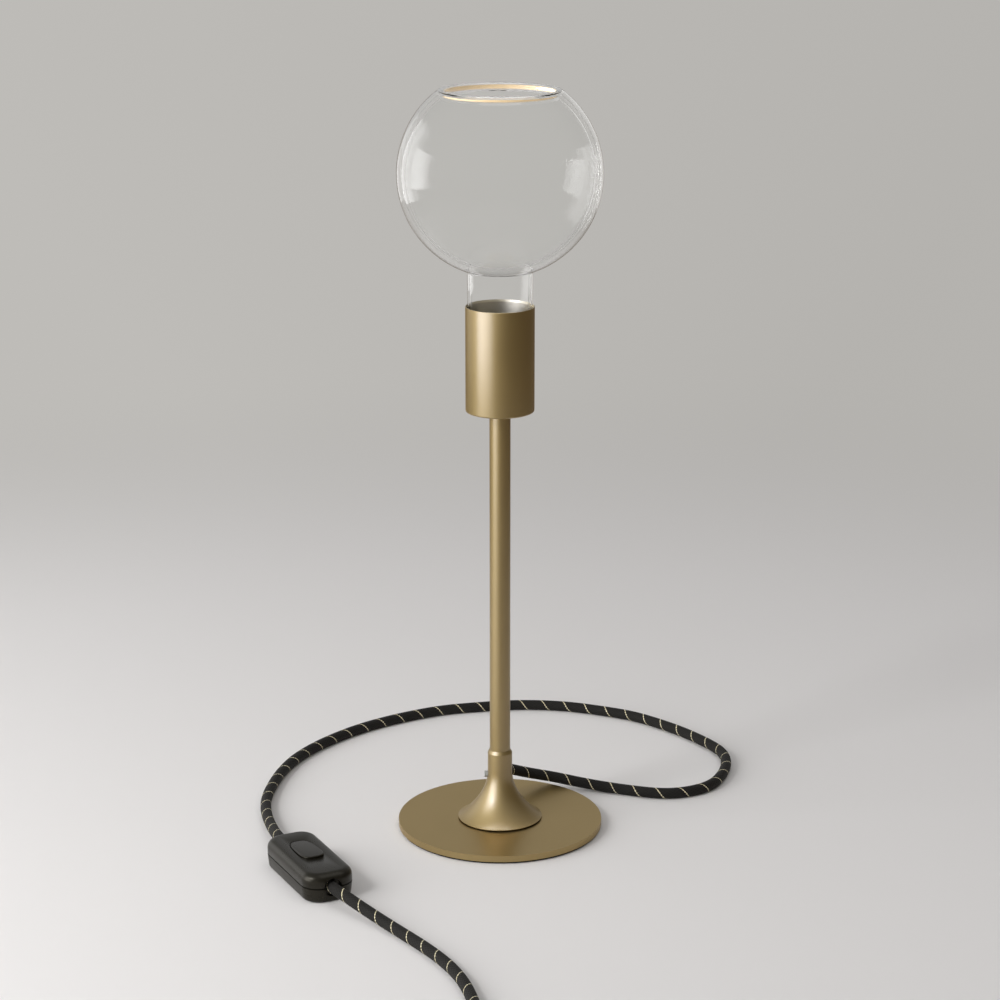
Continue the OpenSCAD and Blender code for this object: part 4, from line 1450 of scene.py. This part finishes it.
@dataclass
class Bulb:
    """Double-walled globe, its light strip and what its screw cap holds."""

    shop: Workshop
    globe_z: float = 420.1 * MM
    globe_r: float = 62.5 * MM
    glass_t: float = 0.8 * MM
    fold_r: float = 2.7 * MM
    fold_rise: float = 48.1 * MM
    fold_margin: float = 0.1 * MM
    strip_t: float = 0.4 * MM
    strip_gap: float = 0.45 * MM
    strip_low: float = -1.1 * MM
    strip_high: float = 1.2 * MM
    neck_r: float = 20.0 * MM
    cap_neck_r: float = 12.4 * MM
    fillet: float = 2 * MM
    taper_low: float = 319 * MM
    taper_high: float = 331 * MM
    cap_seat: float = 7 * MM
    shoulder: float = 1.4 * MM
    shoulder_drop: float = 2.6 * MM
    globe_steps: int = 72
    fillet_steps: int = 10
    fold_steps: int = 28
    inner_fold_steps: int = 24
    round_steps: int = 192
    crease: float = 60.0

    @property
    def fold_x(self) -> float:
        """Gives the radius of the fold's ring."""
        return math.sqrt((self.globe_r - self.fold_r) ** 2 - self.fold_rise**2)

    def glass(self) -> Piece:
        """Blows the glass: up the outside, over the fold, into the bowl, and back inside.

        Returns:
            The glass.
        """
        z, t, steps = self.globe_z, self.glass_t, self.globe_steps
        bowl = self.globe_r - 2 * self.fold_r
        lean = 90 - math.degrees(math.asin(self.fold_x / (self.globe_r - self.fold_r)))
        fold = (self.fold_x, z + self.fold_rise)
        reach = self.neck_r + self.fillet
        fillet_z = -math.sqrt((self.globe_r + self.fillet) ** 2 - reach**2)
        start = math.degrees(math.asin(reach / (self.globe_r + self.fillet))) - 90
        neck, cap = self.neck_r - t, self.cap_neck_r - t
        end = -math.degrees(math.acos(neck / (self.globe_r - t)))
        seat_z, drop_z = self.taper_low - self.cap_seat, self.taper_high - self.shoulder_drop
        out = Outline(self.cap_neck_r, seat_z)
        out.to((self.cap_neck_r, self.taper_low), (self.neck_r - self.shoulder, drop_z),
               (self.neck_r, self.taper_high), (self.neck_r, z + fillet_z))
        out.arc((reach, z + fillet_z), start, self.fillet_steps)
        out.arc((0, z), lean - start, steps).arc(fold, 180, self.fold_steps)
        out.arc((0, z), -90 - lean, steps).to((0, z - bowl - t)).arc((0, z), 90 + lean, steps)
        out.arc(fold, -180, self.inner_fold_steps).arc((0, z), end - lean, steps)
        out.to((neck, self.taper_high), (neck - self.shoulder, drop_z + t / 2),
               (cap, self.taper_low + t / 2), (cap, seat_z)).close()

        def choose(r: float, height: float) -> int:
            """Tells the glass apart for its three finishes.

            Args:
                r: A face's radius.
                height: Its height.

            Returns:
                1 for the fold, 2 for the bowl and 0 for the rest.
            """
            place = Vector((r, height - z))
            folded = (place - Vector((self.fold_x, self.fold_rise))).length
            if folded < self.fold_r + self.fold_margin:
                return 1
            return 2 if place.length < bowl + 2 * t else 0

        return self.shop.piece("globe_glass", paint(out.turned(self.round_steps), choose),
                               [GLASS, FOLD_GLASS, BOWL_GLASS], "bulb", "clear_glass",
                               ["bulb_glass"], self.crease)

    def strip(self) -> None:
        """Makes the light strip, which stands in the fold against its inner wall."""
        near = self.fold_x - self.fold_r + self.glass_t + self.strip_gap
        far = near + self.strip_t
        z = self.globe_z + self.fold_rise
        low, high = z + self.strip_low, z + self.strip_high
        band = Outline(near, low).to((far, low), (far, high), (near, high)).close()
        self.shop.piece("amber_light_strip", band.turned(self.round_steps), [AMBER], "bulb",
                        "amber_strip", ["light_strip"])

    def build(self) -> Piece:
        """Makes the glass and the strip, and dresses the rest of the bulb.

        Returns:
            The glass.
        """
        glass = self.glass()
        self.strip()
        self.shop.dress({
            "strip_leads": LEAD_WIRE, "bulb_driver": BOARD, "cap_insulator": BLACK_PLASTIC,
            "bulb_cap": NICKEL, "cap_contact": NICKEL,
        })
        return glass


# ---- Switch and plug ----


@dataclass
class Switch:
    """Inline switch: two shells, the button and what lies inside."""

    shop: Workshop
    place: Point3 = (-116.4 * MM, -88.3 * MM, 0.0)
    length: float = 74 * MM
    width: float = 32.4 * MM
    height: float = 18.2 * MM
    corner: float = 11.2 * MM
    corner_steps: int = 14
    edge: float = 5.2 * MM
    edge_steps: int = 8
    foot_edge: float = 2.4 * MM
    foot_steps: int = 6
    cut_edge: float = 0.35 * MM
    split: float = 9.4 * MM
    seam: float = 0.7 * MM
    draft: float = 0.8 * MM
    wall: float = 2 * MM
    end: float = 8 * MM
    cavity_corner: float = 3 * MM
    cavity_steps: int = 6
    cavity_lap: float = 1 * MM
    past: float = 5 * MM
    mouth_r: float = 5.6 * MM
    mouth_depth: float = 4 * MM
    cord_r: float = 3.6 * MM
    button_l: float = 29.5 * MM
    button_w: float = 15.6 * MM
    button_shift: float = 4.4 * MM
    button_gap: float = 0.12 * MM
    button_low: float = 14.4 * MM
    button_edge: float = 0.65 * MM
    button_steps: int = 5
    button_sides: int = 96
    button_square: float = 3.4
    button_taper: float = 0.14
    proud: float = 1.3 * MM
    slope_depth: float = 1 * MM
    finger_gap: float = 0.8 * MM

    def ways(self) -> list[Mesh]:
        """Makes the tools that cut the two mouths and the way of the cord.

        Returns:
            The tools.
        """
        end, z = self.length / 2, self.split
        past = end + self.past
        tools = [rod((-past, 0, z), (past, 0, z), self.cord_r)]
        for side in (-1, 1):
            tools.append(rod((side * (end - self.mouth_depth), 0, z), (side * past, 0, z),
                             self.mouth_r))
        return tools

    def cavity(self, low: float, high: float) -> Mesh:
        """Makes the tool that hollows a shell between two heights."""
        size = (self.length - 2 * self.end, self.width - 2 * self.wall - self.draft, high - low)
        return block(size, (0, 0, (low + high) / 2), self.cavity_corner, self.cavity_steps)

    def cover(self) -> Mesh:
        """Makes the upper shell.

        Returns:
            Its mesh.
        """
        low = self.split + self.seam / 2
        size = (self.length, self.width, self.height - low)
        body = block(size, (0, 0, (low + self.height) / 2), self.corner, self.corner_steps)
        bevel_level(body, self.height, self.edge, self.edge_steps)
        window = self.oval(self.button_gap, self.finger_gap, self.split, self.height + self.past)
        hollow = self.cavity(low - self.cavity_lap, self.height - self.wall)
        return carve(body, [hollow, window, *self.ways()], self.cut_edge)

    def base(self) -> Mesh:
        """Makes the lower shell, which narrows downwards.

        Returns:
            Its mesh.
        """
        high = self.split - self.seam / 2
        body = block((self.length, self.width, high), (0, 0, high / 2), self.corner,
                     self.corner_steps)
        bevel_level(body, 0.0, self.foot_edge, self.foot_steps)
        for vert in body.verts:
            inset = self.draft * (1 - vert.co.z / high)
            vert.co.x *= 1 - inset / (self.length / 2)
            vert.co.y *= 1 - inset / (self.width / 2)
        return carve(body, [self.cavity(self.wall, high + self.cavity_lap), *self.ways()],
                     self.cut_edge)

    def oval(self, grow: float, gap: float, low: float, high: float) -> Mesh:
        """Makes an upright block with the plan of the button.

        Args:
            grow: How far it is larger all round.
            gap: How far its left side stands out further, for the finger gap.
            low: Its lower face.
            high: Its upper face.

        Returns:
            The block.
        """
        bm = bmesh.new()
        bmesh.ops.create_circle(bm, cap_ends=True, segments=self.button_sides, radius=1.0)
        for vert in bm.verts:
            x, y = (math.copysign(abs(c) ** (2 / self.button_square), c) for c in vert.co[:2])
            share = (x + 1) / 2
            y *= self.button_w / 2 * (1 - self.button_taper * (1 - share)) + grow
            if y < 0:
                y -= gap * math.sin(math.pi * share)
            vert.co = (x * (self.button_l / 2 + grow) - self.button_shift, y, low)
        made = bmesh.ops.extrude_face_region(bm, geom=bm.faces[:])["geom"]
        raised = [g for g in made if isinstance(g, bmesh.types.BMVert)]
        bmesh.ops.translate(bm, verts=raised, vec=(0, 0, high - low))
        bmesh.ops.recalc_face_normals(bm, faces=bm.faces[:])
        return bm

    def button(self) -> Mesh:
        """Makes the button, whose top slopes up towards the plug.

        Returns:
            Its mesh.
        """
        top = self.height + self.proud
        bm = self.oval(0.0, 0.0, self.button_low, top)
        bevel_level(bm, top, self.button_edge, self.button_steps)
        for vert in bm.verts:
            if vert.co.z > top - self.slope_depth:
                share = (vert.co.x + self.button_shift) / self.button_l + 0.5
                vert.co.z -= (1 - share) * self.proud
        return bm

    def build(self) -> list[Piece]:
        """Makes the shells and the button, and dresses what lies inside.

        Returns:
            The pieces of the switch.
        """
        spot = Matrix.Translation(self.place) @ Matrix.Rotation(SWITCH_TURN, 4, "Z")
        made = []
        for name, node, body, bm in (
            ("switch_upper_shell", "switch_cover", "lamp", self.cover()),
            ("switch_lower_shell", "switch_base", "lamp", self.base()),
            ("switch_rocker", "switch_button", "switch_button", self.button()),
        ):
            bm.transform(spot)
            made.append(self.shop.piece(name, bm, [SWITCH_PLASTIC], body, "switch_plastic",
                                        [node]))
        return made + self.shop.dress({
            "switch_spring": ZINC_STEEL, "switch_block": CERAMIC, "switch_contacts": BRIGHT_BRASS,
            "switch_cores": BLUE, "switch_grips": ZINC_STEEL, "switch_screws": ZINC_STEEL,
        })


@dataclass
class Plug:
    """Earthed plug with its strain relief, all of it kept from the frame."""

    shop: Workshop

    def build(self) -> list[Piece]:
        """Dresses the plug, and gives its pieces."""
        return self.shop.dress({"plug_relief": BLACK_PLASTIC, "plug_body": BLACK_PLASTIC,
                                "plug_pins": NICKEL, "plug_earth_clips": BRIGHT_BRASS})


def main() -> None:
    """Builds the studio and then each part of the lamp, in order."""
    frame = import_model()
    shop = Workshop(frame)
    studio = Studio()
    studio.build()
    switch = Switch(shop).build()
    plug = Plug(shop).build()
    Cords(shop).build(switch, plug)
    brass = Base(shop).build() + Column(shop).build()
    studio.light(Bulb(shop).build(), brass)


if __name__ == "__main__":
    logging.basicConfig(level=logging.INFO, format="%(name)s: %(message)s")
    main()
